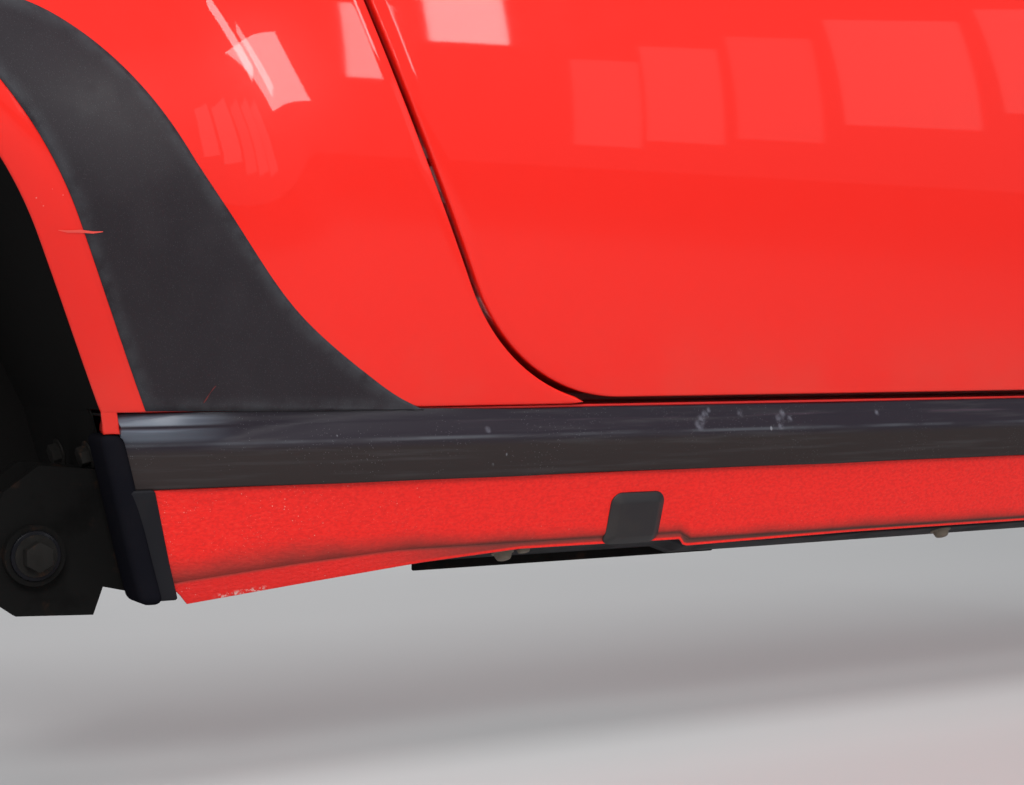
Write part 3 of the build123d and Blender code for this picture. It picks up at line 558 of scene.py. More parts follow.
# Colour, roughness, grains per metre, grain's depth in millimetres, share of grime, specular level
MOULDED = {
    "plug_rubber": ((0.013, 0.012, 0.014), 0.48, 900, 0.06, 0.35, 0.45),
    "rim_rubber": ((0.016, 0.016, 0.019), 0.55, 700, 0.05, 0.1, 0.04),
    "bulb_rubber": ((0.0075, 0.0075, 0.0105), 0.60, 500, 0.03, 0.05, 0.0),
    "seal_rubber": ((0.006, 0.006, 0.008), 0.30, 500, 0.03, 0.05, 0.09),
    "plastic_black": ((0.020, 0.020, 0.022), 0.42, 600, 0.08),
    "paint_crack": ((0.88, 0.075, 0.055), 0.45, 500, 0.05, 0.2),
    "old_red": ((0.11, 0.009, 0.008), 0.60, 500, 0.05, 0.3),
    "thread": ((0.16, 0.15, 0.14), 0.75, 2500, 0.10, 0.2),
    "leather_pad": ((0.085, 0.078, 0.072), 0.50, 1400, 0.12, 0.3),
    "carpet": ((0.030, 0.029, 0.030), 0.95, 1100, 0.60, 0.5, 0.1),
    "speaker_mesh": ((0.022, 0.022, 0.024), 0.45, 1600, 0.20, 0.2),
}
# Colour, roughness, metallic share, share of rust, specular level
METALS = {
    "old_iron": ((0.010, 0.009, 0.008), 0.72, 0.2, 0.25, 0.2),
    # cast_dark: a dark casting, its near-black colour partly painted shade round the wheelhouse
    "cast_dark": ((0.0045, 0.0042, 0.004), 0.80, 0.1, 0.10, 0.12),
    "steel": ((0.42, 0.41, 0.39), 0.34, 1.0, 0.12),
    "steel_dark": ((0.055, 0.046, 0.040), 0.60, 0.6, 0.45),
    "dirty_zinc": ((0.165, 0.138, 0.108), 0.62, 0.3, 0.35, 0.3),
}
FINISHES = {
    "red_paint": red_paint(),
    "red_satin": red_satin(),
    "red_textured": red_textured(),
    "guard_film": guard_film(),
    "rubber_black": strip_rubber(),
    "liner_black": liner_plastic(),
    "trim_leather": trim_leather(),
    "glass": clear_glass(),
    "mirror": mirror_silver(),
}
FINISHES |= {name: moulded(name, *values) for name, values in MOULDED.items()}
FINISHES |= {name: metal(name, *values) for name, values in METALS.items()}

# Finish of every CAD node that stays in view, and the width of its rounded edges in millimetres
NODE_LOOKS = {
    "wheelhouse": ("liner_black", None),
    "suspension_bracket": ("cast_dark", 3.0),
    "inner_quarter_panel": ("red_satin", None),
    "lock_post": ("red_satin", 0.5),
    "striker": ("steel_dark", 0.6),
    "rocker_outer": ("red_satin", 0.9),
    "rocker_inner": ("red_satin", 0.9),
    "sill_tread_plate": ("plastic_black", 0.5),
    "sill_end_cap_front": ("red_satin", 1.4),
    "jack_socket": ("steel_dark", 0.8),
    "underbody_bracket": ("cast_dark", 1.2),
    "hinge_post": ("red_satin", 4.0),
    "door_seal": ("seal_rubber", 3.5),
    "door_frame": ("red_satin", 0.9),
    "door_latch": ("steel", 1.5),
    "window_glass": ("glass", 1.0),
    "waist_seal_outer": ("seal_rubber", 2.5),
    "waist_seal_inner": ("seal_rubber", 2.5),
    "hinge_fixed_lower": ("steel_dark", 0.8),
    "hinge_fixed_upper": ("steel_dark", 0.8),
    "hinge_moving_lower": ("steel_dark", 0.8),
    "hinge_moving_upper": ("steel_dark", 0.8),
    "door_handle_outer": ("red_paint", 3.0),
    "door_pull": ("leather_pad", 5.0),
    "inner_release": ("steel", 2.0),
    "door_trim_panel": ("trim_leather", 3.5),
}


# Forms of the skin

FLARE_FADE = 10.0           # how far past its reach the flare runs out
FLARE_STEEP = 0.5           # sine of the angle above which the flare's top shortens its reach


def smooth(u):
    u = min(max(u, 0.0), 1.0)
    return u * u * (3 - 2 * u)


def ramp(value, start, end):
    """0 at start, 1 at end, smooth in between."""
    return smooth((value - start) / (end - start))


def spread(u, stops):
    """Value at u on a line of straight runs through (u, value) stops."""
    for (u0, a), (u1, b) in zip(stops, stops[1:]):
        if u <= u1 + 1e-9:
            return a + (b - a) * (u - u0) / (u1 - u0)
    return stops[-1][1]


def catmull(points, share):
    """Smooth curve between the second and the third of four points."""
    a, b, c, d = points
    return 0.5 * (2 * b + (c - a) * share + (2 * a - 5 * b + 4 * c - d) * share ** 2
                  + (3 * b - a - 3 * c + d) * share ** 3)


def side_y(z):
    return BARREL_Y - math.sqrt(BARREL_R ** 2 - (z - WIDEST_Z) ** 2)


def section_point(run):
    """(y, z) on the flank; run is the height up to the shoulder, then the length over it."""
    if run <= JOIN_Z:
        return side_y(run), run
    if run <= ROUND_END:
        turn = SHOULDER_LEAN + (run - JOIN_Z) / SHOULDER_R
        return SHOULDER_Y - SHOULDER_R * math.cos(turn), SHOULDER_Z + SHOULDER_R * math.sin(turn)
    return SHOULDER_Y + run - ROUND_END, WAIST_Z


def arch_place(way, out):
    """Side-view point this far along the wheel opening's edge and this far outside it."""
    if way < 0:
        angle, drop = ARCH_LEAN, -way
    else:
        angle, drop = min(ARCH_LEAN + way / ARCH_R, math.pi), 0.0
    below = max(0.0, way - ARCH_R * (math.pi - ARCH_LEAN))
    x = AXLE_X + (ARCH_R + out) * math.cos(angle) + drop * math.sin(angle)
    z = AXLE_Z + (ARCH_R + out) * math.sin(angle) - drop * math.cos(angle)
    return x, z - below


def arch_measure(x, z):
    """Distance outside the opening's edge, height of the nearest point of the edge, and angle's sine."""
    dx, dz = x - AXLE_X, z - AXLE_Z
    drop = dx * math.sin(ARCH_LEAN) - dz * math.cos(ARCH_LEAN)
    if dx > 0 and drop > 0:
        out = dx * math.cos(ARCH_LEAN) + dz * math.sin(ARCH_LEAN) - ARCH_R
        return out, AXLE_Z + ARCH_R * math.sin(ARCH_LEAN) - drop * math.cos(ARCH_LEAN), 0.0
    if dz < 0:
        return -dx - ARCH_R, z, 0.0
    far = math.hypot(dx, dz)
    return far - ARCH_R, AXLE_Z + ARCH_R * dz / far, dz / far


def flare_height(x, z):
    out, edge_z, sine = arch_measure(x, z)
    out = max(out, 0.0)
    reach = FLARE_REACH
    if sine >= FLARE_STEEP:
        reach = min(reach, (FLARE_TOP_Z - AXLE_Z) / sine - ARCH_R)
    share = min(out / (reach + FLARE_FADE), 1.0)
    height = FLARE_FOOT + FLARE_RISE * ramp(edge_z, FLARE_LOW_Z, FLARE_HIGH_Z)
    roll = LIP_ROLL * max(0.0, 1 - out / LIP_ROLL_W) ** 2
    return height * 0.5 * (1 + math.cos(math.pi * share)) - roll


def wing_point(x, run):
    y, z = section_point(run)
    back = max(0.0, AXLE_X - x)
    if back:
        y = WIDEST_Y + TAIL_R - math.sqrt((TAIL_R - (y - WIDEST_Y)) ** 2 - back ** 2)
    if run < ROUND_END:
        y -= flare_height(x, z)
    return Vector((x, y, z))


def lifted(point_at, x, run, height):
    """Point this far above the skin."""
    step = 1.0
    forward = point_at(x + step, run) - point_at(x - step, run)
    upward = point_at(x, run + step) - point_at(x, run - step)
    return point_at(x, run) + forward.cross(upward).normalized() * height


# Making meshes

def sheet(columns, rows, place):
    """A grid whose points are put by place(u, v), u and v from 0 to 1, facing outboard."""
    bm = bmesh.new()
    bmesh.ops.create_grid(bm, x_segments=columns, y_segments=rows, size=0.5)
    for vert in bm.verts:
        vert.co = place(vert.co.x + 0.5, vert.co.y + 0.5)
    bm.normal_update()
    if sum(face.normal.y * face.calc_area() for face in bm.faces) > 0:
        bmesh.ops.reverse_faces(bm, faces=bm.faces[:])
    bm.normal_update()
    return bm


def only(kind, parts):
    return [part for part in parts if isinstance(part, kind)]


def edge_directions(bm):
    """For every point of the free edge: its place, the way off the sheet, and the way behind it."""
    ways = {}
    for vert in bm.verts:
        if not vert.is_boundary:
            continue
        offs = []
        for edge in vert.link_edges:
            if not edge.is_boundary:
                continue
            start, end = edge.verts[0].co, edge.verts[1].co
            off = (end - start).normalized().cross(vert.normal).normalized()
            if off.dot(edge.link_faces[0].calc_center_median() - (start + end) / 2) > 0:
                off.negate()
            offs.append(off)
        off = sum(offs, Vector())
        if len(offs) == 2:
            off = off / max(1 + offs[0].dot(offs[1]), 0.5)
        ways[vert] = (vert.co.copy(), off, -vert.normal.copy())
    return ways


FOLD_STEPS = 3


def turn_in(bm, radius, depth):
    """Rolls a sheet's free edge round and turns it in as a flange."""
    ways = edge_directions(bm)
    edges = [edge for edge in bm.edges if edge.is_boundary]
    angles = [math.pi / 2 * k / FOLD_STEPS for k in range(1, FOLD_STEPS + 1)]
    moves = [(radius * math.sin(angle), radius * (1 - math.cos(angle))) for angle in angles]
    moves.append((radius, radius + depth))
    for off_by, in_by in moves:
        made = bmesh.ops.extrude_edge_only(bm, edges=edges)["geom"]
        edges = [edge for edge in only(bmesh.types.BMEdge, made) if edge.is_boundary]
        next_ways = {}
        for vert in only(bmesh.types.BMVert, made):
            old = next(edge.other_vert(vert) for edge in vert.link_edges if edge.other_vert(vert) in ways)
            start, off, behind = ways[old]
            vert.co = start + off * off_by + behind * in_by
            next_ways[vert] = ways[old]
        ways = next_ways


def round_edges(bm, edges, radius, segments=3):
    bmesh.ops.bevel(bm, geom=edges, offset=radius, offset_type="OFFSET", segments=segments, profile=0.5,
                    affect="EDGES", clamp_overlap=True, material=-1)


def block(low, high, radius=0.0, segments=3):
    """A box with all its edges rounded."""
    bm = bmesh.new()
    bmesh.ops.create_cube(bm, size=1.0)
    low, high = Vector(low), Vector(high)
    bmesh.ops.scale(bm, vec=high - low, verts=bm.verts[:])
    bmesh.ops.translate(bm, vec=(low + high) / 2, verts=bm.verts[:])
    if radius:
        round_edges(bm, bm.edges[:], radius, segments)
    return bm


def bar(section, x0, x1, radii, segments=3):
    """A (y, z) section drawn forward from x0 to x1, each long edge rounded by its own radius."""
    bm = bmesh.new()
    face = bm.faces.new([bm.verts.new((x0, y, z)) for y, z in section])
    made = bmesh.ops.extrude_face_region(bm, geom=[face])["geom"]
    bmesh.ops.translate(bm, vec=(x1 - x0, 0, 0), verts=only(bmesh.types.BMVert, made))
    bmesh.ops.recalc_face_normals(bm, faces=bm.faces[:])
    for (y, z), radius in zip(section, radii):
        if radius:
            round_edges(bm, [edge for edge in bm.edges if on_line(edge, y, z)], radius, segments)
    return bm


def on_line(edge, y, z):
    """True for an edge that runs along X at this (y, z)."""
    return all(abs(vert.co.y - y) + abs(vert.co.z - z) < 0.01 for vert in edge.verts)


def bisect(bm, point, normal, clear=False):
    """Divides a mesh along a plane, and clears all that lies on the normal's side when asked."""
    geom = bm.verts[:] + bm.edges[:] + bm.faces[:]
    made = bmesh.ops.bisect_plane(bm, geom=geom, plane_co=point, plane_no=normal, clear_outer=clear)
    return made["geom_cut"]


def slice_along(bm, x0, x1, step):
    """Divides a long piece across, so that it can be waved a little."""
    for k in range(1, int((x1 - x0) / step)):
        bisect(bm, (x0 + k * step, 0, 0), (1, 0, 0))


def wave(bm, height, length):
    """Slight waviness along X of a long soft piece."""
    for vert in bm.verts:
        phase = vert.co.x / length * 2 * math.pi
        vert.co.z += height * (math.sin(phase) + 0.6 * math.sin(phase * 2.37 + 1.3))


def disc(place, direction, radius, height, top_radius=None, sides=24, round_by=0.0):
    """A short round or many-sided post standing on place."""
    bm = bmesh.new()
    bmesh.ops.create_cone(bm, cap_ends=True, segments=sides, radius1=radius,
                          radius2=radius if top_radius is None else top_radius, depth=height)
    if round_by:
        rim = [edge for edge in bm.edges if all(vert.co.z > 0 for vert in edge.verts)]
        round_edges(bm, rim, round_by, 2)
    direction = Vector(direction).normalized()
    turn = direction.to_track_quat("Z", "Y").to_matrix().to_4x4()
    centre = Vector(place) + direction * height / 2
    bmesh.ops.transform(bm, matrix=Matrix.Translation(centre) @ turn, verts=bm.verts[:])
    return bm


WASHER_T = 1.4
HEX_CORNER = 0.577          # half the width over the corners, as a share of the width over the flats


def bolt(place, direction, across):
    """Hexagon head on a washer."""
    direction = Vector(direction).normalized()
    washer = disc(place, direction, across * 0.8, WASHER_T, round_by=0.4)
    head_at = Vector(place) + direction * WASHER_T
    join(washer, disc(head_at, direction, across * HEX_CORNER, across * 0.5, sides=6, round_by=0.8))
    return washer


def screw(place, direction, radius):
    """Domed screw head with a recess in it."""
    head = disc(place, direction, radius, radius * 0.5, top_radius=radius * 0.75, sides=20,
                round_by=radius * 0.15)
    top = max(head.faces, key=lambda face: face.calc_center_median().dot(Vector(direction)))
    bmesh.ops.inset_individual(head, faces=[top], thickness=radius * 0.3, depth=-radius * 0.2)
    return head


def join(bm, other):
    """Adds another mesh to this one and frees it."""
    mesh = bpy.data.meshes.new("joined")
    other.to_mesh(mesh)
    other.free()
    bm.from_mesh(mesh)
    bpy.data.meshes.remove(mesh)


def gather(parts):
    """One mesh of many small ones."""
    bm = bmesh.new()
    for part in parts:
        join(bm, part)
    return bm


def close_shell(bm, near=0.05):
    """Merges points that meet, and turns all faces outwards."""
    bmesh.ops.remove_doubles(bm, verts=bm.verts[:], dist=near)
    bmesh.ops.recalc_face_normals(bm, faces=bm.faces[:])


def finish_piece(name, bm, finish, body="body_side", stands_for=(), sharp=40.0, wall=0.0):
    """Turns a mesh in millimetres into a piece of the scene, riding on its body."""
    bmesh.ops.scale(bm, vec=(MM, MM, MM), verts=bm.verts[:])
    mesh = bpy.data.meshes.new(name)
    bm.to_mesh(mesh)
    bm.free()
    mesh.shade_smooth()
    mesh.set_sharp_from_angle(angle=math.radians(sharp))
    mesh.materials.append(FINISHES[finish])
    obj = bpy.data.objects.new(name, mesh)
    bpy.context.scene.collection.objects.link(obj)
    if wall:
        solid = obj.modifiers.new("wall", "SOLIDIFY")
        solid.thickness = wall * MM
        solid.offset = -1.0
    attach(obj, body)
    if stands_for:
        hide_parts(*stands_for)
    return obj


# Outer panels

SHUT_COLUMNS = 64
WAIST_COLUMNS = 64
REAR_COLUMNS = 40
WING_COLUMNS = SHUT_COLUMNS + WAIST_COLUMNS + REAR_COLUMNS
WING_ROWS = 46
WING_EASE = 0.3             # how much closer the rows lie at the opening's edge
WAIST_RUN = ROUND_END + WING_IN_Y - SHOULDER_Y - FOLD_R
DOOR_RUN = ROUND_END + DOOR_WAIST_Y - SHOULDER_Y - FOLD_R
# Shares of the columns that end at the waist and at the rear end
SHUT_SHARE = SHUT_COLUMNS / WING_COLUMNS
WAIST_SHARE = (SHUT_COLUMNS + WAIST_COLUMNS) / WING_COLUMNS
# Lengths along the opening's edge, from the upper end of its straight front part
WAY_LOW = -145.6
WAY_SHUT = 163.0
WAY_REAR = 590.0
WAY_END = ARCH_R * (math.pi - ARCH_LEAN) + AXLE_Z - WING_LOW_REAR_Z - FOLD_R
WAY_STOPS = [(0, WAY_LOW), (SHUT_SHARE, WAY_SHUT), (WAIST_SHARE, WAY_REAR), (1, WAY_END)]
# Share of the shut line that its round lower corner takes up, on the wing and on the door
WING_CORNER = 0.3
DOOR_CORNER = 0.32
DOOR_COLUMNS = 90
DOOR_ROWS = 76


def shut_corner(radius):
    """(x, z) where the shut line's round corner, drawn with this radius, meets its leaning part."""
    return SHUT_X - radius * math.cos(SHUT_LEAN), SHUT_Z - radius * math.sin(SHUT_LEAN)


def shut_line(share, radius, top_run, corner, low_turn=0.0):
    """(x, run) on the door's shut line from its low end (0) to top_run (1)."""
    if share < corner:
        turn = low_turn + (math.pi / 2 - SHUT_LEAN - low_turn) * share / corner
        return SHUT_X - radius * math.sin(turn), SHUT_Z - radius * math.cos(turn)
    corner_x, corner_z = shut_corner(radius)
    run = corner_z + (top_run - corner_z) * (share - corner) / (1 - corner)
    return corner_x - (section_point(run)[1] - corner_z) * math.tan(SHUT_LEAN), run


def wing_outline(u):
    """(x, run) on the wing's outer edge: up the shut line, back along the waist, down the rear end."""
    radius = SHUT_R + SHUT_GAP / 2 + FOLD_R
    rear_x = WING_REAR_X + FOLD_R
    if u <= SHUT_SHARE + 1e-9:
        low_turn = math.acos((SHUT_Z - LEDGE_Z - FOLD_R) / radius)
        return shut_line(u / SHUT_SHARE, radius, WAIST_RUN, WING_CORNER, low_turn)
    if u <= WAIST_SHARE + 1e-9:
        start = shut_line(1.0, radius, WAIST_RUN, WING_CORNER)[0]
        return start + (rear_x - start) * (u - SHUT_SHARE) / (WAIST_SHARE - SHUT_SHARE), WAIST_RUN
    share = (u - WAIST_SHARE) / (1 - WAIST_SHARE)
    return rear_x, WAIST_RUN + (WING_LOW_REAR_Z + FOLD_R - WAIST_RUN) * share


def wing_place(u, v):
    inner = arch_place(spread(u, WAY_STOPS), FOLD_R)
    share = v * (1 - WING_EASE + WING_EASE * v)
    x, run = (start + (end - start) * share for start, end in zip(inner, wing_outline(u)))
    return wing_point(x, run)


def make_wing():
    bm = sheet(WING_COLUMNS, WING_ROWS, wing_place)
    turn_in(bm, FOLD_R, FLANGE)
    finish_piece("wing_skin", bm, "red_paint", stands_for=("wing_panel",), sharp=60, wall=SHEET_T)


def door_place(u, v):
    rear, run = shut_line(v, SHUT_R - SHUT_GAP / 2 - FOLD_R, DOOR_RUN, DOOR_CORNER)
    y, z = section_point(run)
    return Vector((rear + (DOOR_FRONT_X - FOLD_R - rear) * u, y, z))


def make_door_skin():
    bm = sheet(DOOR_COLUMNS, DOOR_ROWS, door_place)
    turn_in(bm, FOLD_R, FLANGE)
    finish_piece("door_outer", bm, "red_paint", "door", stands_for=("door_skin",), sharp=60, wall=SHEET_T)


LIP_BARE = 32.0             # width of the wing's lip that the guard leaves bare
GUARD_LIFT = 0.8
GUARD_T = 0.6
GUARD_LOW_Z = LEDGE_Z - 1.3
GUARD_INNER_LOW = -160.7    # where its inner edge starts, along the opening's edge
GUARD_EASE = 0.8            # power by which the lines across it crowd towards its upper end
GUARD_COLUMNS = 110
GUARD_ROWS = 26
# Outer edge of the guard: length along the opening's edge, distance from it
GUARD_EDGE = [(-275, 256), (-235, 226), (-146, 180), (-42, 153), (44.6, 129), (106, 101), (150.5, 68),
              (196, 33)]


def guard_row(u):
    """Inner and outer end of a line across the guard, in lengths along and out from the opening's edge."""
    last = len(GUARD_EDGE) - 1
    k = min(int(u * last), last - 1)
    points = [Vector(GUARD_EDGE[min(max(k + step, 0), last)]) for step in (-1, 0, 1, 2)]
    way = GUARD_INNER_LOW + (GUARD_EDGE[-1][0] - GUARD_INNER_LOW) * u ** GUARD_EASE
    return Vector((way, LIP_BARE)), catmull(points, u * last - k)


def guard_place(u, v):
    inner, outer = guard_row(u)
    x, z = arch_place(*(inner + (outer - inner) * v))
    return lifted(wing_point, x, max(z, GUARD_LOW_Z), GUARD_LIFT)


def note_edge_distance(bm):
    """Writes on every point how far the sheet's edge is, in millimetres."""
    layer = bm.verts.layers.float.new("edge_mm")
    rim = [vert.co.copy() for vert in bm.verts if vert.is_boundary]
    for vert in bm.verts:
        vert[layer] = min((vert.co - place).length for place in rim)


def make_guard():
    bm = sheet(GUARD_COLUMNS, GUARD_ROWS, guard_place)
    note_edge_distance(bm)
    finish_piece("guard_sheet", bm, "guard_film", stands_for=("stone_guard",), wall=GUARD_T)


# Sill

# Section of the rubber strip, outboard side first, with the rounding of each corner
STRIP_SECTION = [(SILL_WALL_Y, STRIP_TOP_Z), (-168.0, STRIP_TOP_Z), (-172.0, 84.0), (-175.5, 77.5),
                 (-179.0, 71.0), (-178.0, 63.0), (-174.5, STRIP_LOW_Z), (SILL_WALL_Y, STRIP_LOW_Z)]
STRIP_ROUNDING = [0, 1.5, 1.2, 0, 4.0, 3.0, 1.5, 0]
BAR_REAR_X = SILL_REAR_X - 20.0     # strip and cover start here, before their end is cut
# The sill's rear end leans less than the opening's edge above it
SILL_LEAN = math.radians(15.5)
SLANT_NORMAL = Vector((-math.cos(SILL_LEAN), 0, -math.sin(SILL_LEAN)))
ARCH_STRAIGHT = 147.0
# How far inside the slanted edge the strip and the cover are cut
STRIP_CUT = 11.5
COVER_CUT = 27.0


def slant_place(z, out, y):
    """A point of the sill's end at this height, this far inside the slanted edge."""
    knee_x, knee_z = arch_place(-ARCH_STRAIGHT, 0.0)
    x = knee_x + (knee_z - z) * math.tan(SILL_LEAN) + out / math.cos(ARCH_LEAN)
    return Vector((x, y, z))


def cut_slanted(bm, out):
    """Cuts a bar off along the sill's slanted end, and closes the cut."""
    cut = bisect(bm, slant_place(0.0, out, 0.0), SLANT_NORMAL, clear=True)
    bmesh.ops.contextual_create(bm, geom=only(bmesh.types.BMEdge, cut))


STRIP_SLICE = 24.0
STRIP_WAVE = 0.35
STRIP_WAVE_LENGTH = 420.0
STRIP_TURN_X = -722.0       # behind here the strip turns in towards the sill's end
STRIP_TURN = 0.0016
STRIP_LIFT = 1.9
STRIP_PROUD = 1.5           # how far inside the wing's edge the swollen upper edge ends
STRIP_BULGE = 7.0
# Places between which the upper edge swells out under the overhanging wing, and bulges at its end
STRIP_SWELL_Z = (70.0, 84.0)
STRIP_SWELL_X = (-400.0, -550.0)
STRIP_BULGE_X = (-700.0, -760.0)
STRIP_BULGE_Z = (96.0, 84.0)


def shape_strip_end(vert):
    x, y, z = vert.co
    if y > SILL_WALL_Y - 1.0:
        return
    upper = ramp(z, *STRIP_SWELL_Z) * ramp(x, *STRIP_SWELL_X)
    bulge = STRIP_BULGE * ramp(x, *STRIP_BULGE_X) * ramp(z, *STRIP_BULGE_Z)
    overhang = wing_point(x, LEDGE_Z + 1.0).y + STRIP_PROUD - bulge
    vert.co.y += upper * min(0.0, overhang - y)
    vert.co.z += STRIP_LIFT * upper
    vert.co.y += STRIP_TURN * max(0.0, STRIP_TURN_X - x) ** 2


def make_strip():
    bm = bar(STRIP_SECTION, BAR_REAR_X, SILL_FRONT_X, STRIP_ROUNDING)
    slice_along(bm, BAR_REAR_X, SILL_FRONT_X, STRIP_SLICE)
    wave(bm, STRIP_WAVE, STRIP_WAVE_LENGTH)
    cut_slanted(bm, STRIP_CUT)
    for vert in bm.verts:
        shape_strip_end(vert)
    finish_piece("strip_rubber", bm, "rubber_black", stands_for=("sill_strip",), sharp=50)


COVER_SECTION = [(-169.0, STRIP_LOW_Z), (-151.0, -22.0), (-146.0, -25.5), (-105.0, -38.0), (-105.0, -35.8),
                 (-145.0, -23.0), (-149.0, -20.0), (-166.5, STRIP_LOW_Z)]
COVER_ROUNDING = [0.8, 5.0, 4.0, 0, 0, 3.0, 3.0, 0]
COVER_SLICE = 12.0
BEND_Z = COVER_SECTION[1][1]
# Height of the cover's lower bend, and lower edge of the lip that hangs from it: x, z
COVER_BEND = [(-760, -41), (-634, -30), (-542, -24), (-248, -24), (-243, -31), (740, -29)]
COVER_LIP = [(-732.0, -58.0), (-634.0, -48.0), (-521.0, -37.0), (-422.0, -30.5), (-248.0, -31.0),
             (-244.0, -37.5), (-43.0, -34.5), (738.0, -33.5)]


def note_heights(bm):
    """Writes on every point its height above the cover's bend and above the lip's lower edge."""
    above_bend = bm.verts.layers.float.new("above_bend_mm")
    above_edge = bm.verts.layers.float.new("above_edge_mm")
    for vert in bm.verts:
        vert[above_bend] = vert.co.z - spread(vert.co.x, COVER_BEND)
        vert[above_edge] = vert.co.z - spread(vert.co.x, COVER_LIP)


def make_cover():
    bm = bar(COVER_SECTION, BAR_REAR_X, SILL_FRONT_X, COVER_ROUNDING, 5)
    slice_along(bm, BAR_REAR_X, SILL_FRONT_X, COVER_SLICE)
    for vert in bm.verts:
        drop = BEND_Z - spread(vert.co.x, COVER_BEND)
        vert.co.z -= drop * ramp(vert.co.z, STRIP_LOW_Z, BEND_Z)
    cut_slanted(bm, COVER_CUT)
    join(bm, cover_lip())
    note_heights(bm)
    finish_piece("cover_coated", bm, "red_textured", stands_for=("sill_cover",), sharp=50)


LIP_Y = -148.8
LIP_TOP_Z = -20.0
LIP_T = 1.8
LIP_FOLD_R = 0.5
LIP_COLUMNS = 368
LIP_ROWS = 5
LIP_SLANT = 14.0            # how much further back the lip starts at its top than at its corner
LIP_SLANT_SHARES = (0.98, 0.58)


def cover_lip_place(u, v):
    x = COVER_LIP[0][0] + (COVER_LIP[-1][0] - COVER_LIP[0][0]) * u
    z = LIP_TOP_Z + (spread(x, COVER_LIP) - LIP_TOP_Z) * v
    back = LIP_SLANT * ramp(v, *LIP_SLANT_SHARES) * max(0.0, 1.0 - u * LIP_COLUMNS)
    return Vector((x - back, LIP_Y, z))


def cover_lip():
    """Thin lip that hangs below the cover, deepest at its rear end."""
    bm = sheet(LIP_COLUMNS, LIP_ROWS, cover_lip_place)
    turn_in(bm, LIP_FOLD_R, LIP_T - LIP_FOLD_R)
    return bm


# How far outboard the sill's end reaches at a height: z, y
END_FACE = [(-60, -155.0), (-22, -160.0), (36, -174.0), (60, -177.0), (90, -177.0)]
BULB_FACE = [(-60, -163.0), (-22, -165.0), (36, -174.0), (60, -178.0), (90, -179.0)]
END_BENDS = (-22, 0, 20, 36, 48)


def slanted_block(low_z, high_z, out0, out1, depth, radius, segments=4, face=END_FACE):
    """A rounded block along the sill's slanted end, its outer face on the sill's profile."""
    bm = block((out0, 0, low_z), (out1, depth, high_z), radius, segments)
    for z in (low_z + 8, low_z + 16, *END_BENDS, high_z - 14):
        bisect(bm, (0, 0, z), (0, 0, 1))
    for vert in bm.verts:
        out, y, z = vert.co
        vert.co = slant_place(z, out, y + spread(z, face))
    return bm


def make_end_cap():
    """Soft bulb on the sill's end face, and the flat rim that holds it below the strip."""
    bulb = slanted_block(low_z=-56, high_z=81, out0=-3.2, out1=14.0, depth=42.0, radius=6.5, segments=5,
                         face=BULB_FACE)
    finish_piece("end_seal", bulb, "bulb_rubber", stands_for=("sill_end_cap_rear",))
    rim = slanted_block(low_z=-54, high_z=STRIP_LOW_Z + 0.4, out0=6.0, out1=26.8, depth=8.0, radius=2.5)
    finish_piece("end_rim", rim, "rim_rubber")


TAB_LOW_Z = 82.0
TAB_HEIGHT = 17.0
TAB_OUT = 1.5
TAB_WIDTH = 8.5
TAB_BEHIND = 0.4


def lip_tab_place(u, v):
    x, _, z = slant_place(TAB_LOW_Z + TAB_HEIGHT * v, TAB_OUT + TAB_WIDTH * u, 0)
    return Vector((x, wing_point(x, z).y + TAB_BEHIND, z))


def make_lip_tab():
    """Painted tab of the wing's lip that hangs down over the sill's end."""
    bm = sheet(8, 8, lip_tab_place)
    turn_in(bm, 1.5, 9.0)
    finish_piece("wing_lip_tab", bm, "red_paint", sharp=60, wall=SHEET_T)


# Jack plug: its middle, and its cap as it is seen from outside
JACK_X = -304.5
JACK_Z = -8.0
COVER_SLOPE = math.atan2(18.0, 56.0)
PLUG_HALF_W = 29.0
PLUG_LOW = -25.0
PLUG_HIGH = 25.5
PLUG_T = 1.6
PLUG_CORNER_R = 11.0
PLUG_SLOPE_W = 8.5
PLUG_FACE_T = 4.2
PLUG_TAB = 5.0
PLUG_STAND = 0.3
COVER_FACE_Y = -160.0       # the cover's outer face, at the height below
COVER_FACE_Z = 8.0
# Places on the cap between which the pull tab at its lower rear corner grows
PLUG_TAB_Y = (-12.0, -24.0)
PLUG_TAB_X = (-8.0, -22.0)
SKIRT_HALF_W = 20.0
SKIRT_HALF_H = 15.0
SKIRT_OUT_Y = -150.0
SKIRT_IN_Y = -138.0


def plug_cap():
    """Cap with sloping sides round a raised face, and a pull tab at its lower rear corner."""
    bm = block((-PLUG_HALF_W, PLUG_LOW, 0), (PLUG_HALF_W, PLUG_HIGH, PLUG_T))
    corners = [edge for edge in bm.edges if abs(edge.verts[0].co.z - edge.verts[1].co.z) > 1]
    round_edges(bm, corners, PLUG_CORNER_R, 7)
    top = next(face for face in bm.faces if face.normal.z > 0.9)
    rim = list(top.edges)
    bmesh.ops.inset_individual(bm, faces=[top], thickness=PLUG_SLOPE_W, depth=PLUG_FACE_T)
    face_edges = list(top.edges)
    round_edges(bm, rim, 0.7, 3)
    round_edges(bm, [edge for edge in face_edges if edge.is_valid], 1.2, 2)
    for vert in bm.verts:
        vert.co.x -= PLUG_TAB * ramp(vert.co.y, *PLUG_TAB_Y) * ramp(vert.co.x, *PLUG_TAB_X)
    return bm


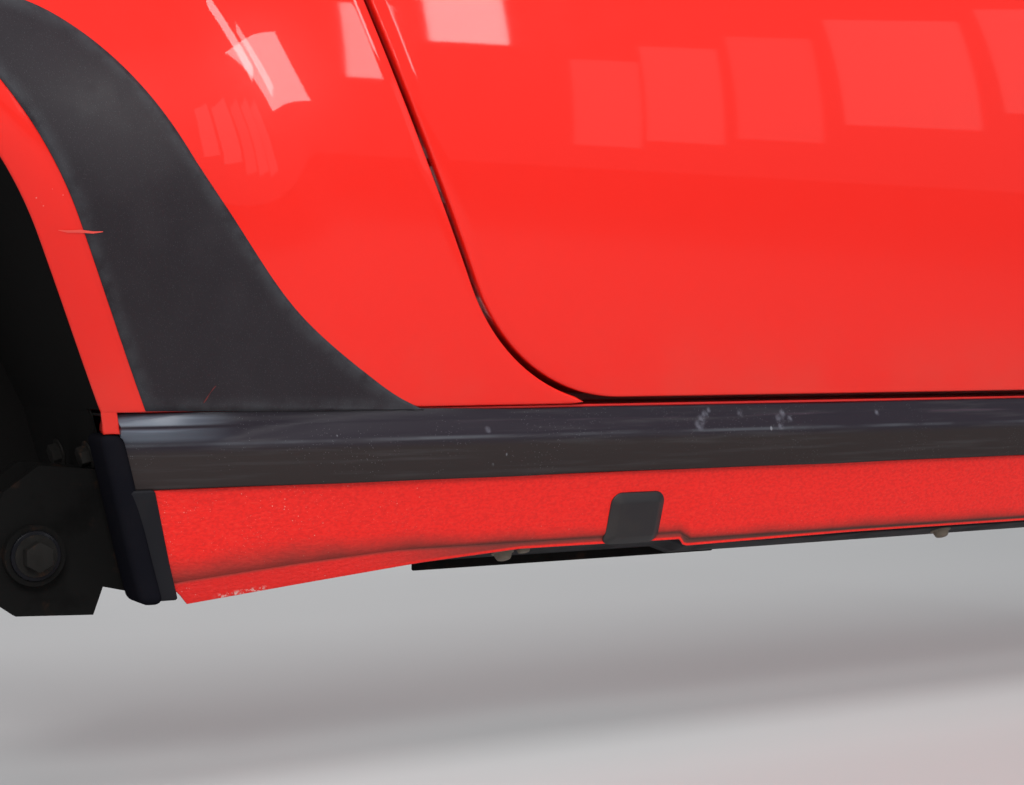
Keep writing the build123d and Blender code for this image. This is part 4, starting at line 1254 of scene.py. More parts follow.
def make_plug():
    """Cap laid on the cover's slope, with its skirt in the hole."""
    bm = plug_cap()
    mid_y = COVER_FACE_Y - (JACK_Z - COVER_FACE_Z) * math.tan(COVER_SLOPE) - PLUG_STAND
    facing = Vector((0, -math.cos(COVER_SLOPE), -math.sin(COVER_SLOPE)))
    upward = Vector((0, -math.sin(COVER_SLOPE), math.cos(COVER_SLOPE)))
    turn = Matrix((Vector((1, 0, 0)), upward, facing)).transposed()
    place = Matrix.Translation((JACK_X, mid_y, JACK_Z)) @ turn.to_4x4()
    bmesh.ops.transform(bm, matrix=place, verts=bm.verts[:])
    bmesh.ops.recalc_face_normals(bm, faces=bm.faces[:])
    skirt_low = (JACK_X - SKIRT_HALF_W, SKIRT_OUT_Y, JACK_Z - SKIRT_HALF_H)
    skirt_high = (JACK_X + SKIRT_HALF_W, SKIRT_IN_Y, JACK_Z + SKIRT_HALF_H)
    join(bm, block(skirt_low, skirt_high, 2.0))
    finish_piece("plug_cap", bm, "plug_rubber", "jack_plug", stands_for=("jack_plug",), sharp=45)


# Painted shade: a thin black sheet just under the cover, where its underside lies in shadow
UNDER_SHADE_REAR_X = -700.0
UNDER_SHADE_FRONT_X = SILL_FRONT_X - 20.0
UNDER_SHADE_OUT_Y = -144.5
UNDER_SHADE_W = 38.5
UNDER_SHADE_Z = -27.4         # its height at this y, where the cover's bend is at its usual height
UNDER_SHADE_AT_Y = -145.0
UNDER_SHADE_SLOPE = 0.31
SCREW_DOWN = (0, -0.35, -0.94)
SCREW_Y = -128.0
SCREW_X = (-428.5, 94.6)
NUB_PLACE = (-409.0, -131.0, -31.5)     # a smaller head beside the rear screw


def under_shade_z(x, y):
    return UNDER_SHADE_Z - UNDER_SHADE_SLOPE * (y - UNDER_SHADE_AT_Y) + spread(x, COVER_BEND) - BEND_Z


def under_shade_place(u, v):
    x = UNDER_SHADE_REAR_X + (UNDER_SHADE_FRONT_X - UNDER_SHADE_REAR_X) * u
    y = UNDER_SHADE_OUT_Y + UNDER_SHADE_W * v
    return Vector((x, y, under_shade_z(x, y)))


def make_screws():
    """Dirty pan-head screws that hold the cover from below."""
    bm = disc(NUB_PLACE, SCREW_DOWN, 7.5, 5.4, top_radius=5.2, sides=10, round_by=1.0)
    for x in SCREW_X:
        base = Vector((x, SCREW_Y, under_shade_z(x, SCREW_Y) + 1.0))
        join(bm, disc(base, SCREW_DOWN, 10.5, 3.2, round_by=1.0))
        join(bm, disc(base + Vector((0, -0.8, -2.6)), SCREW_DOWN, 8.6, 6.6, top_radius=6.2, round_by=2.0))
    finish_piece("cover_screws", bm, "dirty_zinc")


def make_under_shade():
    """Black sheet under the cover: painted shade where the cover's underside lies in shadow."""
    bm = sheet(150, 4, under_shade_place)
    finish_piece("under_shade", bm, "rim_rubber", wall=-0.5)


# Marks of use: path of (x, z) places on the wing, and width at each of them

SCRATCH = [(-730.5, 104.5), (-728.6, 107.5), (-725.5, 112.5), (-723.0, 116.0), (-721.0, 118.0)]
SCRATCH_WIDTHS = [0.4, 1.3, 0.3, 1.0, 0.4]
SCRATCH_LIFT = GUARD_LIFT + 0.21
CRACK = [(-864, 233.0), (-857, 232.3), (-847, 232.8), (-837, 232.3), (-829, 233.2)]
CRACK_WIDTHS = [0.5, 1.8, 2.2, 1.6, 0.5]
CRACK_LIFT = GUARD_LIFT + 0.16


def make_mark(name, path, widths, finish, lift):
    """A thin sliver that follows a path on the wing."""
    last = len(path) - 1

    def place(u, v):
        k = min(int(u * last), last - 1)
        share = u * last - k
        start, end = Vector(path[k]), Vector(path[k + 1])
        way = (end - start).normalized()
        wide = widths[k] + (widths[k + 1] - widths[k]) * share
        at = start + (end - start) * share + Vector((-way.y, way.x)) * wide * (v - 0.5)
        return lifted(wing_point, at.x, at.y, lift)

    finish_piece(name, sheet(6 * last, 3, place), finish)


def make_marks():
    make_mark("guard_scratch", SCRATCH, SCRATCH_WIDTHS, "old_red", SCRATCH_LIFT)
    make_mark("lip_crack", CRACK, CRACK_WIDTHS, "paint_crack", CRACK_LIFT)


# Fittings of the fixed side

AHEAD = Vector((1, 0, 0))
BACK = Vector((-1, 0, 0))
OUTBOARD = Vector((0, -1, 0))
INBOARD = Vector((0, 1, 0))
UP = Vector((0, 0, 1))
DOWN = Vector((0, 0, -1))
SHUT_FORWARD = Vector((math.cos(SHUT_LEAN), 0, math.sin(SHUT_LEAN)))
SHUT_UP = Vector((-math.sin(SHUT_LEAN), 0, math.cos(SHUT_LEAN)))
STRIKER_Z = 330.0
STRIKER_Y = -150.0
HINGE_Z = (220.0, 500.0)
# y and z of the four bolts of each fixed hinge half, and the planes that their heads and nuts lie on
HINGE_BOLTS = [(y, z + side) for z in HINGE_Z for side in (-24, 24) for y in (-124, -92)]
HINGE_BOLT_X = 588.0
HINGE_NUT_X = 594.8
DOOR_WALL_X = 558.0
DOOR_BOLT_Y = -112.0
# Latch screws: height from the striker, y
LATCH_SCREWS = ((-34, -128), (34, -128), (40, -112))
# Bolts on the sill's end wall: z, y
WALL_BOLTS = ((62, -112), (30, -104), (60, -30), (10, -20))


def shut_place(z, out, y):
    """A point beside the leaning part of the shut line; out is towards the rear."""
    corner_x, corner_z = shut_corner(SHUT_R)
    x = corner_x - (z - corner_z) * math.tan(SHUT_LEAN)
    return Vector((x - out * math.cos(SHUT_LEAN), y, z - out * math.sin(SHUT_LEAN)))


def make_bolts():
    """Bolts of the hinges, posts, brackets and caps."""
    hinge = [bolt((HINGE_BOLT_X, y, z), BACK, 11) for y, z in HINGE_BOLTS]
    finish_piece("hinge_bolts", gather(hinge), "steel")
    door = [bolt((DOOR_WALL_X, DOOR_BOLT_Y, z + side), AHEAD, 10) for z in HINGE_Z for side in (-26, 26)]
    finish_piece("hinge_bolts_door", gather(door), "steel", "door")
    centre = shut_place(STRIKER_Z, -8.3, STRIKER_Y)
    striker = [screw(centre + SHUT_UP * side, SHUT_FORWARD, 5.0) for side in (-20, 20)]
    finish_piece("striker_screws", gather(striker), "steel")
    latch = [screw(shut_place(STRIKER_Z + up, -5.1, y), -SHUT_FORWARD, 4.5) for up, y in LATCH_SCREWS]
    finish_piece("latch_screws", gather(latch), "steel", "door")
    wall = [bolt(slant_place(z, 2.5, y), SLANT_NORMAL, 15) for z, y in WALL_BOLTS]
    finish_piece("wall_bolts", gather(wall), "old_iron")


BUSH_FROM_CORNER = (-36.0, -112.0)
BUSH_OUT_Y = -129.5
BUSH_IN_Y = -40.5
BUSH_BOLT_OUT = 2.5


def make_bush():
    """Rubber bush in the bracket's eye, with its bolt and nut."""
    x = arch_place(-ARCH_STRAIGHT, 0.0)[0] + BUSH_FROM_CORNER[0]
    z = LEDGE_Z + BUSH_FROM_CORNER[1]
    sides = ((BUSH_OUT_Y, OUTBOARD), (BUSH_IN_Y, INBOARD))
    rubber = [disc((x, y, z), way, 20.0, 3.0, round_by=1.5) for y, way in sides]
    finish_piece("bush_rubber", gather(rubber), "seal_rubber")
    ends = [bolt((x, y + way.y * BUSH_BOLT_OUT, z), way, 21) for y, way in sides]
    finish_piece("bush_bolt", gather(ends), "old_iron")


LINER_R = ARCH_R + 2.7
BEAD_HEIGHT = 3.5
BEAD_WIDTH = 16.0
BEAD_Y = (-120.0, -75.0, -30.0, 15.0)
BEAD_BACK = 0.2             # how much further down the beads run at the rear, in radians
CLIP_Y = -150.0
# Ribs on the wheelhouse's outer side: reach outside the opening's edge, y, and half their width
RIB_OUT = (5.0, 9.5)
RIB_Y = (-52.0, 44.0)
RIB_HALF_W = 4.0


def liner_bead(y):
    def place(u, v):
        angle = ARCH_LEAN + (math.pi - 2 * ARCH_LEAN) * u + BEAD_BACK * u
        radius = LINER_R - 0.4 - BEAD_HEIGHT * math.sin(math.pi * v)
        at_y = y + BEAD_WIDTH * (v - 0.5)
        return Vector((AXLE_X + radius * math.cos(angle), at_y, AXLE_Z + radius * math.sin(angle)))
    return sheet(72, 6, place)


def liner_clip(degrees):
    angle = math.radians(degrees)
    way = Vector((-math.cos(angle), 0, -math.sin(angle)))
    place = Vector((AXLE_X, CLIP_Y, AXLE_Z)) - way * (LINER_R - 0.3)
    return disc(place, way, 8.0, 2.5, top_radius=6.0, round_by=0.8)


def liner_rib(degrees):
    """Stiffening rib across the outer side of the wheelhouse."""
    low = (ARCH_R + RIB_OUT[0], RIB_Y[0], -RIB_HALF_W)
    high = (ARCH_R + RIB_OUT[1], RIB_Y[1], RIB_HALF_W)
    rib = block(low, high, 2.0)
    turn = Matrix.Rotation(-math.radians(degrees), 4, "Y")
    bmesh.ops.transform(rib, matrix=Matrix.Translation((AXLE_X, 0, AXLE_Z)) @ turn, verts=rib.verts[:])
    return rib


def make_liner_details():
    finish_piece("liner_beads", gather([liner_bead(y) for y in BEAD_Y]), "liner_black", wall=0.6)
    clips = [liner_clip(degrees) for degrees in range(32, 176, 18)]
    finish_piece("liner_clips", gather(clips), "plastic_black")
    ribs = [liner_rib(degrees) for degrees in range(42, 176, 15)]
    finish_piece("liner_ribs", gather(ribs), "liner_black")


INNER_SKIN_Y = WING_IN_Y + 2.3
# Pressed beads: rear end, front end, z
PRESSED_BEADS = ((-1150, -760, 508), (-1150, -740, 548), (-1150, -720, 588), (-830, -620, 196),
                 (-840, -600, 232))
# Grommets in the wing's inner skin: x, z, radius; and in the sill's inner wall: x
GROMMETS = ((-790, 318, 26), (-700, 290, 17), (-640, 400, 22), (-730, 440, 12))
SILL_GROMMETS = (-560, -160, 240, 640)
SILL_GROMMET_Z = 70.0
# Spot welds in two rows along the sill's inner wall
WELD_X = range(-680, 730, 60)
WELD_Z = (-22, 140)


def make_inner_panel_details():
    """Pressed beads, rubber grommets and spot welds on the inner skins."""
    y = INNER_SKIN_Y
    beads = [block((x0, y - 1, z - 8), (x1, y + 3.5, z + 8), 3.4) for x0, x1, z in PRESSED_BEADS]
    finish_piece("pressed_beads", gather(beads), "red_satin")
    grommets = [disc((x, y, z), INBOARD, r, 4.0, top_radius=r - 2, round_by=1.2) for x, z, r in GROMMETS]
    grommets += [disc((x, -0.2, SILL_GROMMET_Z), INBOARD, 17.0, 0.9, round_by=0.4) for x in SILL_GROMMETS]
    finish_piece("grommets", gather(grommets), "seal_rubber")
    welds = [disc((x, -0.3, z), INBOARD, 3.0, 0.6, top_radius=2.2, sides=12) for x in WELD_X for z in WELD_Z]
    finish_piece("spot_welds", gather(welds), "red_satin")


# Drain pipe on the wing's inner side: x, z
PIPE_PATH = [(-886, 640), (-880, 612), (-868, 540), (-852, 460), (-838, 400), (-834, 366), (-832, 340)]
PIPE_Y = -47.0
PIPE_R = 7.0
PIPE_RIB = 0.5
PIPE_RIBS = 44
# Clips of the pipe: x, z; and the grommet at its lower end
PIPE_CLIPS = ((-871, 560), (-847, 440))
PIPE_CLIP_Y = (-58.5, -38.5)
PIPE_FOOT = ((-847, -58.5, 352), (-819, -39.0, 380))


def pipe_place(u, v):
    way = u * (len(PIPE_PATH) - 3)
    k = min(int(way), len(PIPE_PATH) - 4)
    points = [Vector(point) for point in PIPE_PATH[k:k + 4]]
    at = catmull(points, way - k)
    ahead = (catmull(points, way - k + 0.01) - at).normalized()
    turn = 2 * math.pi * v
    radius = PIPE_R + PIPE_RIB * math.cos(2 * math.pi * PIPE_RIBS * u)
    side = Vector((-ahead.y, ahead.x)) * radius * math.cos(turn)
    return Vector((at.x + side.x, PIPE_Y + radius * math.sin(turn), at.y + side.y))


def make_pipe():
    """Stiff ribbed drain pipe with two clips and the grommet that it ends in."""
    pipe = sheet(4 * PIPE_RIBS, 16, pipe_place)
    close_shell(pipe)
    finish_piece("drain_pipe", pipe, "rim_rubber")
    y0, y1 = PIPE_CLIP_Y
    clips = [block((x - 12, y0, z - 4), (x + 12, y1, z + 4), 3.0) for x, z in PIPE_CLIPS]
    clips.append(block(*PIPE_FOOT, 8.0, 4))
    finish_piece("pipe_clips", gather(clips), "plastic_black")


SLEEVE_X = 587.5
SLEEVE_Y = -100.0
SLEEVE_Z = 380.0
SLEEVE_COLLAR_T = 4.0
SLEEVE_FOLDS = 3
SLEEVE_PITCH = 3.2
HINGE_PLATE_X = (594.5, 596.5)
HINGE_PLATE_Y = (-131, -78)
HINGE_PLATE_HALF_H = 38


def make_post_details():
    """Cable sleeve between post and door, and the nuts and plates on the hinge post."""
    collar_at = (SLEEVE_X, SLEEVE_Y, SLEEVE_Z)
    sleeve = [disc(collar_at, BACK, 15.0, SLEEVE_COLLAR_T, top_radius=12.5, round_by=1.0)]
    for k in range(SLEEVE_FOLDS):
        x = SLEEVE_X - SLEEVE_COLLAR_T - SLEEVE_PITCH * k
        sleeve.append(disc((x, SLEEVE_Y, SLEEVE_Z), BACK, 10.5, 3.0, top_radius=8.5, round_by=0.8))
    finish_piece("cable_sleeve", gather(sleeve), "seal_rubber")
    nuts = [bolt((HINGE_NUT_X, y, z), AHEAD, 13) for y, z in HINGE_BOLTS]
    (x0, x1), (y0, y1), half = HINGE_PLATE_X, HINGE_PLATE_Y, HINGE_PLATE_HALF_H
    plates = [block((x0, y0, z - half), (x1, y1, z + half), 0.8) for z in HINGE_Z]
    finish_piece("hinge_nuts", gather(nuts + plates), "old_iron")


TREAD_SCREWS_X = (-410, -100, 210, 530)
TREAD_SCREW_Y = -26.0
TREAD_TOP_Z = 155.5
PAD_BOLTS_X = (-480, -200)
PAD_BOLT_Y = -56.0
BRACKET_LOW_Z = -37.5
JACKING_PAD = ((-376, -80, -53.0), (-304, -28, -47.5))


def make_sill_details():
    """Screws of the tread plate, and the pad and bolts of the bracket under the sill."""
    treads = [screw((x, TREAD_SCREW_Y, TREAD_TOP_Z), UP, 4.5) for x in TREAD_SCREWS_X]
    finish_piece("tread_screws", gather(treads), "steel")
    under = [bolt((x, PAD_BOLT_Y, BRACKET_LOW_Z), DOWN, 13) for x in PAD_BOLTS_X]
    finish_piece("pad_bolts", gather(under), "steel_dark")
    finish_piece("jacking_pad", block(*JACKING_PAD, 2.0), "seal_rubber")


# Fittings of the door

MIRROR_HALF = Vector((92.3, 59.8))
MIRROR_MIDDLE = Vector((480.0, -307.5, 730.0))
MIRROR_SQUARENESS = 0.46    # power of the rounded oblong: 1 is an ellipse, 0 a rectangle
MIRROR_COLUMNS = 72
# Rings of the shell from the middle of the recess out, over the rim and round the domed front: size, x
MIRROR_RINGS = [(0.90, 451.0), (0.93, 450.0), (0.945, 442.0), (0.965, 440.4), (0.985, 441.5), (0.997, 446.0),
                (1.0, 453.0), (0.995, 466.0), (0.975, 480.0), (0.94, 492.0), (0.88, 502.0), (0.79, 510.0),
                (0.66, 515.5), (0.48, 518.5), (0.26, 519.4), (0.0, 519.6)]
MIRROR_GLASS_SIZE = 0.93
MIRROR_GLASS_X = 449.0
MIRROR_GLASS_DOME = 1.5
MIRROR_FOOT = ((421, -177, 637), (499, -133, 647.5))
MIRROR_ARM = ((438, -215.5, 645), (488, -166, 741))
ARM_NECK_Z = 700.0          # above here the mirror's arm is narrow
ARM_MIDDLE_X = 463.0
ARM_NECK = 0.55


def mirror_ring(turn, size, x):
    """A point of a rounded oblong about the mirror's axis; size 1 is the full width and height."""
    side, up = math.cos(turn), math.sin(turn)
    y = MIRROR_MIDDLE.y + math.copysign(abs(side) ** MIRROR_SQUARENESS, side) * MIRROR_HALF.x * size
    z = MIRROR_MIDDLE.z + math.copysign(abs(up) ** MIRROR_SQUARENESS, up) * MIRROR_HALF.y * size
    return Vector((x, y, z))


def mirror_shell():
    """Domed shell, from the middle of its recess round to the middle of its front."""
    last = len(MIRROR_RINGS) - 1

    def place(u, v):
        size, x = MIRROR_RINGS[min(round(v * last), last)]
        return mirror_ring(2 * math.pi * u, size, x)

    shell = sheet(MIRROR_COLUMNS, last, place)
    close_shell(shell)
    return shell


def mirror_glass():
    def place(u, v):
        x = MIRROR_GLASS_X + MIRROR_GLASS_DOME * v * v
        return mirror_ring(2 * math.pi * u, MIRROR_GLASS_SIZE * v, x)

    glass = sheet(MIRROR_COLUMNS, 6, place)
    close_shell(glass)
    if sum(face.normal.x for face in glass.faces) > 0:
        bmesh.ops.reverse_faces(glass, faces=glass.faces[:])
    return glass


def make_mirror():
    """Domed shell with a recessed glass, on a foot that stands on the waist."""
    finish_piece("mirror_shell", mirror_shell(), "red_paint", "door", stands_for=("mirror_housing",),
                 sharp=50, wall=1.5)
    finish_piece("mirror_plate", mirror_glass(), "mirror", "door", stands_for=("mirror_glass",),
                 sharp=35, wall=2.0)
    foot = block(*MIRROR_FOOT, 4.0)
    arm = block(*MIRROR_ARM)
    for vert in arm.verts:
        if vert.co.z > ARM_NECK_Z:
            vert.co.x = ARM_MIDDLE_X + (vert.co.x - ARM_MIDDLE_X) * ARM_NECK
    round_edges(arm, arm.edges[:], 9.0, 5)
    join(foot, arm)
    finish_piece("mirror_stem", foot, "plastic_black", "door", stands_for=("mirror_foot",))


HANDLE_Z = 560.0
HANDLE_GASKETS_X = (-470, -318)
LOCK_X = -304.0
LOCK_PROUD = 35.5


def make_handle_details():
    """Gaskets under the handle's feet, and the lock's barrel with its key slot."""
    face_y = side_y(HANDLE_Z)
    gaskets = [block((x - 3, face_y - 3.2, HANDLE_Z - 14), (x + 31, face_y + 1.0, HANDLE_Z + 14), 1.5)
               for x in HANDLE_GASKETS_X]
    finish_piece("handle_gaskets", gather(gaskets), "seal_rubber", "door")
    lock_y = face_y - LOCK_PROUD
    barrel = disc((LOCK_X, lock_y, HANDLE_Z), OUTBOARD, 7.0, 1.6, round_by=0.6)
    key_low = (LOCK_X - 1.0, lock_y - 2.1, HANDLE_Z - 4.5)
    key_high = (LOCK_X + 1.0, lock_y - 1.3, HANDLE_Z + 4.5)
    join(barrel, block(key_low, key_high, 0.3, 2))
    finish_piece("lock_barrel", barrel, "steel", "door")


TRIM_Y = -92.0
TRIM_REAR_OUT = -24.0       # how far the inner panel's rear edge stays off the shut line
ROLL_SECTION = [(-91, 596), (-84, 600), (-80.5, 608), (-81, 619), (-86, 625.5), (-91, 626)]
ROLL_ROUNDING = [0, 4.0, 5.0, 5.0, 4.0, 0]
ROLL_REAR_X = shut_place(612.0, TRIM_REAR_OUT, 0).x
ROLL_FRONT_X = 538.0
ARMREST_Z = (388, 399)
# Armrest pads round the grip's opening: rear end, outboard side, front end, inboard side, rounding
ARMREST_PADS = ((-298, TRIM_Y - 1, -66, -50, 4.5), (126, TRIM_Y - 1, 328, -50, 4.5),
                (-72, -57.5, 132, -50, 3.4), (-72, TRIM_Y - 1, 132, -81.5, 3.4))


def make_pads():
    """Padded top roll and armrest pads of the door's inner panel."""
    roll = bar(ROLL_SECTION, ROLL_REAR_X + 6, ROLL_FRONT_X, ROLL_ROUNDING, 4)
    finish_piece("trim_roll", roll, "leather_pad", "door")
    low_z, high_z = ARMREST_Z
    pads = [block((x0, y0, low_z), (x1, y1, high_z), radius) for x0, y0, x1, y1, radius in ARMREST_PADS]
    finish_piece("armrest_pads", gather(pads), "leather_pad", "door")


POCKET_REAR_X = -270.0
POCKET_FRONT_X = 290.0
POCKET_IN_Y = -72.0
POCKET_LOW_Z = 188.0
POCKET_TOP_Z = 300.0
POCKET_TAPER = 8.0
POCKET_LIP = [(-80, 297), (-70.5, 297), (-70.5, 305), (-80, 305)]
POCKET_LIP_ROUNDING = [2.0, 3.5, 3.5, 2.0]


def make_pocket():
    """Map pocket, slimmer at its foot, with a rounded lip."""
    pocket = block((POCKET_REAR_X, TRIM_Y - 1, POCKET_LOW_Z), (POCKET_FRONT_X, POCKET_IN_Y, POCKET_TOP_Z))
    for vert in pocket.verts:
        if vert.co.z < POCKET_LOW_Z + 12 and vert.co.y > POCKET_IN_Y - 8:
            vert.co.y -= POCKET_TAPER
    round_edges(pocket, pocket.edges[:], 7.0, 4)
    join(pocket, bar(POCKET_LIP, POCKET_REAR_X - 2, POCKET_FRONT_X + 2, POCKET_LIP_ROUNDING, 4))
    finish_piece("door_pocket", pocket, "carpet", "door")


INSERT_LOW_Z = 412.0
INSERT_HEIGHT = 165.0
INSERT_FRONT_X = 500.0
INSERT_REAR_GAP = 50.0
INSERT_LIFT = 1.6
INSERT_RIDGES = 3
INSERT_RIDGE_T = 1.6


def insert_place(u, v):
    z = INSERT_LOW_Z + INSERT_HEIGHT * v
    rear = shut_place(z, TRIM_REAR_OUT, 0).x + INSERT_REAR_GAP
    ridge = INSERT_RIDGE_T * abs(math.sin(math.pi * INSERT_RIDGES * v))
    return Vector((rear + (INSERT_FRONT_X - rear) * u, TRIM_Y + INSERT_LIFT + ridge, z))


def make_insert():
    """Insert above the armrest, pressed into three low ridges."""
    insert = sheet(60, 14, insert_place)
    turn_in(insert, 1.5, 0.6)
    for face in insert.faces:
        face.normal_flip()
    finish_piece("trim_insert", insert, "leather_pad", "door")


STITCH_PITCH = 9.0
STITCH_R = 0.9
# Rows of stitches on the roll, the armrest and the pocket: rear end, front end, y, z
STITCH_ROWS = ((ROLL_REAR_X + 20, 530, TRIM_Y + 0.6, 590.0), (-292, 322, -49.7, 392.0),
               (-262, 282, -70.4, 301.0))


def make_stitches():
    """Rows of slightly slanted stitches."""
    stitches = []
    for x0, x1, y, z in STITCH_ROWS:
        for k in range(int((x1 - x0) / STITCH_PITCH)):
            place = (x0 + k * STITCH_PITCH, y, z)
            stitches.append(disc(place, (1, 0, -0.06), STITCH_R, STITCH_PITCH * 0.66, sides=8, round_by=0.25))
    finish_piece("trim_stitches", gather(stitches), "thread", "door")


SPEAKER_MIDDLE = Vector((440.0, TRIM_Y, 235.0))
SPEAKER_R = 62.0
SPEAKER_RINGS = 9


def speaker_grille():
    """Round grille with raised rings, turned about its own axis."""
    bm = bmesh.new()
    outline = [(SPEAKER_R, 0.0), (SPEAKER_R - 1, 4.0), (SPEAKER_R - 6, 5.0)]
    for k in range(SPEAKER_RINGS):
        at = SPEAKER_R - 8 - k * (SPEAKER_R - 10) / SPEAKER_RINGS
        outline += [(at, 2.0), (at - 1.2, 4.2), (at - 3.2, 4.2), (at - 4.2, 2.0)]
    outline.append((0.0, 2.6))
    verts = [bm.verts.new((out, 0, up)) for out, up in outline]
    edges = [bm.edges.new(pair) for pair in zip(verts, verts[1:])]
    bmesh.ops.spin(bm, geom=verts + edges, cent=(0, 0, 0), axis=(0, 0, 1), angle=2 * math.pi, steps=56,
                   use_merge=True)
    bmesh.ops.rotate(bm, cent=(0, 0, 0), matrix=Matrix.Rotation(math.radians(-90), 3, "X"), verts=bm.verts[:])
    bmesh.ops.translate(bm, vec=SPEAKER_MIDDLE, verts=bm.verts[:])
    close_shell(bm, 0.01)
    return bm


# Screws of the inner panel: x, z
TRIM_SCREWS = ((-440, 180), (-520, 420), (350, 170), (520, 560), (520, 130))
RELEASE_Y = -86.2
RELEASE_Z = 485.0
# Plugs in the door's lower wall, by x, and in its front wall, by z
DRAIN_PLUGS_X = (-260, 60, 380)
ACCESS_PLUGS_Z = (330, 400)
DOOR_PLUG_Y = -125.0
DRAIN_PLUG_Z = LEDGE_Z + 7.9


def make_door_details():
    """Speaker grille, screws of the inner panel and its release, and the plugs in the door's walls."""
    finish_piece("speaker_grille", speaker_grille(), "speaker_mesh", "door")
    screws = [screw((x, TRIM_Y + 0.2, z), INBOARD, 5.0) for x, z in TRIM_SCREWS]
    finish_piece("trim_screws", gather(screws), "plastic_black", "door")
    pivot = disc((320, RELEASE_Y, RELEASE_Z), INBOARD, 5.0, 1.6, round_by=0.5)
    join(pivot, screw((253, RELEASE_Y, RELEASE_Z), INBOARD, 3.5))
    finish_piece("release_fixings", pivot, "steel", "door")
    plugs = [disc((x, DOOR_PLUG_Y, DRAIN_PLUG_Z), DOWN, 9.0, 1.8, top_radius=7.5, round_by=0.6)
             for x in DRAIN_PLUGS_X]
    plugs += [disc((DOOR_WALL_X, DOOR_PLUG_Y, z), AHEAD, 11.0, 1.5, top_radius=9.0, round_by=0.5)
              for z in ACCESS_PLUGS_Z]
    finish_piece("door_plugs", gather(plugs), "seal_rubber", "door")


# Surroundings, in metres

FLOOR_Z = -225.0 * MM
FLOOR_HALF = 30.0
WORLD_COLOUR = (0.93, 0.96, 1.0, 1.0)
WORLD_STRENGTH = 0.40
CAMERA_PLACE = Vector((-1.248, -1.565, 0.150))
CAMERA_WAY = Vector((0.5, 0.8660254, -math.tan(math.radians(1.47))))
CAMERA_LENS = 65.04
CAMERA_SENSOR = 36.0


def in_scene(name, data):
    obj = bpy.data.objects.new(name, data)
    bpy.context.scene.collection.objects.link(obj)
    return obj


def make_floor():
    bm = bmesh.new()
    bmesh.ops.create_grid(bm, x_segments=1, y_segments=1, size=FLOOR_HALF)
    bmesh.ops.translate(bm, vec=(0, 0, FLOOR_Z), verts=bm.verts[:])
    mesh = bpy.data.meshes.new("floor")
    bm.to_mesh(mesh)
    bm.free()
    material, tree, shader = new_finish("floor_pale", (0.50, 0.50, 0.50), 0.75, specular=0.2)
    connect(tree, level(tree, noise(tree, 3, 3), 0.70, 0.80), shader.inputs["Roughness"])
    mesh.materials.append(material)
    in_scene("floor", mesh)


def make_world():
    world = bpy.data.worlds.new("studio")
    bpy.context.scene.world = world
    world.use_nodes = True
    ground = world.node_tree.nodes["Background"]
    ground.inputs["Color"].default_value = WORLD_COLOUR
    ground.inputs["Strength"].default_value = WORLD_STRENGTH


def make_camera():
    data = bpy.data.cameras.new("camera")
    data.sensor_width = CAMERA_SENSOR
    data.lens = CAMERA_LENS
    data.clip_start = 0.01
    obj = in_scene("camera", data)
    obj.location = CAMERA_PLACE
    obj.rotation_euler = CAMERA_WAY.to_track_quat("-Z", "Y").to_euler()
    bpy.context.scene.camera = obj


def softbox(name, place, target, width, height, watts):
    light = bpy.data.lights.new(name, "AREA")
    light.shape = "RECTANGLE"
    light.size = width
    light.size_y = height
    light.energy = watts
    obj = in_scene(name, light)
    obj.location = place
    way = Vector(target) - Vector(place)
    obj.rotation_euler = way.to_track_quat("-Z", "Y").to_euler()
    return obj


def watts_for(brightness, width, height):
    """Power of a lamp of this size that shows with this brightness."""
    return brightness * math.pi * width * height


# What the door mirrors: a window front, seen from this place and this far away
PANE_AT = Vector((-0.5, -0.2, 0.4))
PANE_FAR = 4.0
# Its panes: azimuth from straight outboard towards the front, elevation, width and height in degrees, and
# brightness
PANES = [
    (24.4, 9.4, 2.2, 7.5, 8.0),
    (28.7, 14.6, 3.4, 9.6, 11.0),
    (34.4, 4.4, 2.9, 8.6, 0.60),
    (37.7, 5.6, 3.3, 9.4, 0.64),
    (41.7, 6.6, 3.6, 10.0, 0.50),
    (47.2, 8.5, 5.6, 10.0, 0.72),
    (52.9, 9.9, 3.8, 9.4, 0.66),
]


def pane(name, azimuth, elevation, wide, high, brightness):
    """A small softbox that the paint mirrors as a window."""
    turn, rise = math.radians(azimuth), math.radians(elevation)
    way = Vector((math.sin(turn) * math.cos(rise), -math.cos(turn) * math.cos(rise), math.sin(rise)))
    width = 2 * PANE_FAR * math.tan(math.radians(wide / 2))
    height = 2 * PANE_FAR * math.tan(math.radians(high / 2))
    softbox(name, PANE_AT + way * PANE_FAR, PANE_AT, width, height, watts_for(brightness, width, height))


# A small lamp near the flare, which its hollow mirrors as one broad patch
PATCH_PLACE = Vector((-0.6203, -0.4079, 0.3868))
PATCH_ACROSS = Vector((0.8226, 0.5607, 0.0944))
PATCH_ALONG = Vector((-0.5499, 0.7423, 0.3829))
PATCH_SIZE = (0.0896, 0.1522)
PATCH_BRIGHTNESS = 9.0


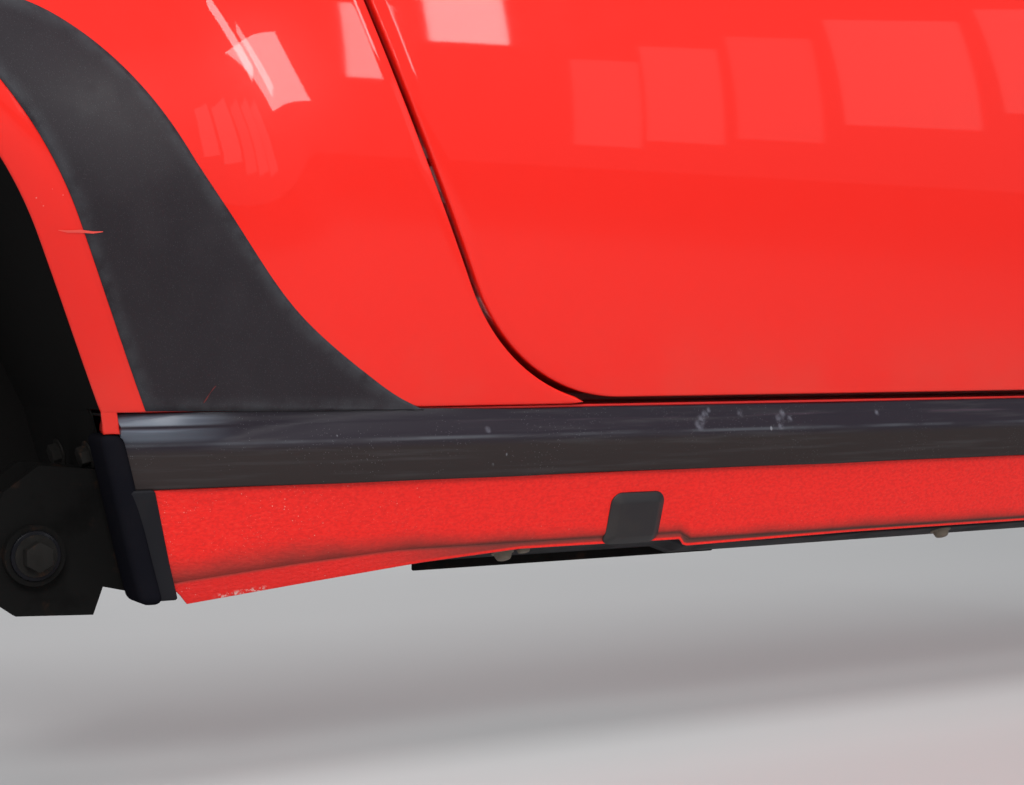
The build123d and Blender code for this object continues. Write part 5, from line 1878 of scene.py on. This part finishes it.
def make_flare_patch():
    watts = watts_for(PATCH_BRIGHTNESS, *PATCH_SIZE)
    lamp = softbox("flare_patch", PATCH_PLACE, PATCH_PLACE, *PATCH_SIZE, watts)
    turn = Matrix((PATCH_ACROSS, PATCH_ALONG, PATCH_ACROSS.cross(PATCH_ALONG))).transposed()
    lamp.rotation_euler = turn.to_euler()
    lamp.visible_diffuse = False
    lamp.visible_camera = False


# Place, target, width, height and watts of the large lamps
SOFTBOXES = {
    "key": ((-2.3, -3.5, 2.3), (-0.5, -0.2, 0.2), 1.8, 1.3, 105),
    "overhead": ((-0.5, -1.5, 3.2), (-0.4, -0.1, 0.2), 3.0, 1.6, 62),
    "back": ((0.4, 3.4, 2.0), (-0.3, 0, 0.3), 2.0, 1.4, 45),
}


def make_lights():
    for name, values in SOFTBOXES.items():
        softbox(name, *values)
    for k, values in enumerate(PANES):
        pane(f"pane_{k}", *values)
    make_flare_patch()


# The CAD nodes that stay in view

WELD_NEAR = 0.01
SOFT_SEGMENTS = 3
SOFT_ANGLE = math.radians(30)


def soften(obj, width):
    """Rounds a CAD node's sharp edges, without a change to its mesh."""
    weld = obj.modifiers.new("weld", "WELD")
    weld.merge_threshold = WELD_NEAR * MM
    bevel = obj.modifiers.new("soft_edges", "BEVEL")
    bevel.width = width * MM
    bevel.segments = SOFT_SEGMENTS
    bevel.limit_method = "ANGLE"
    bevel.angle_limit = SOFT_ANGLE
    bevel.use_clamp_overlap = True


def dress_cad():
    for name, (finish, width) in NODE_LOOKS.items():
        node_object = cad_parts[name]
        node_object.data.materials.clear()
        node_object.data.materials.append(FINISHES[finish])
        if width:
            soften(node_object, width)


bpy.context.scene.view_settings.view_transform = "Standard"
make_camera()
make_world()
make_lights()
make_floor()
dress_cad()
make_wing()
make_door_skin()
make_guard()
make_strip()
make_cover()
make_end_cap()
make_lip_tab()
make_plug()
make_screws()
make_under_shade()
make_marks()
make_bolts()
make_bush()
make_liner_details()
make_inner_panel_details()
make_pipe()
make_post_details()
make_sill_details()
make_mirror()
make_handle_details()
make_pads()
make_pocket()
make_insert()
make_stitches()
make_door_details()
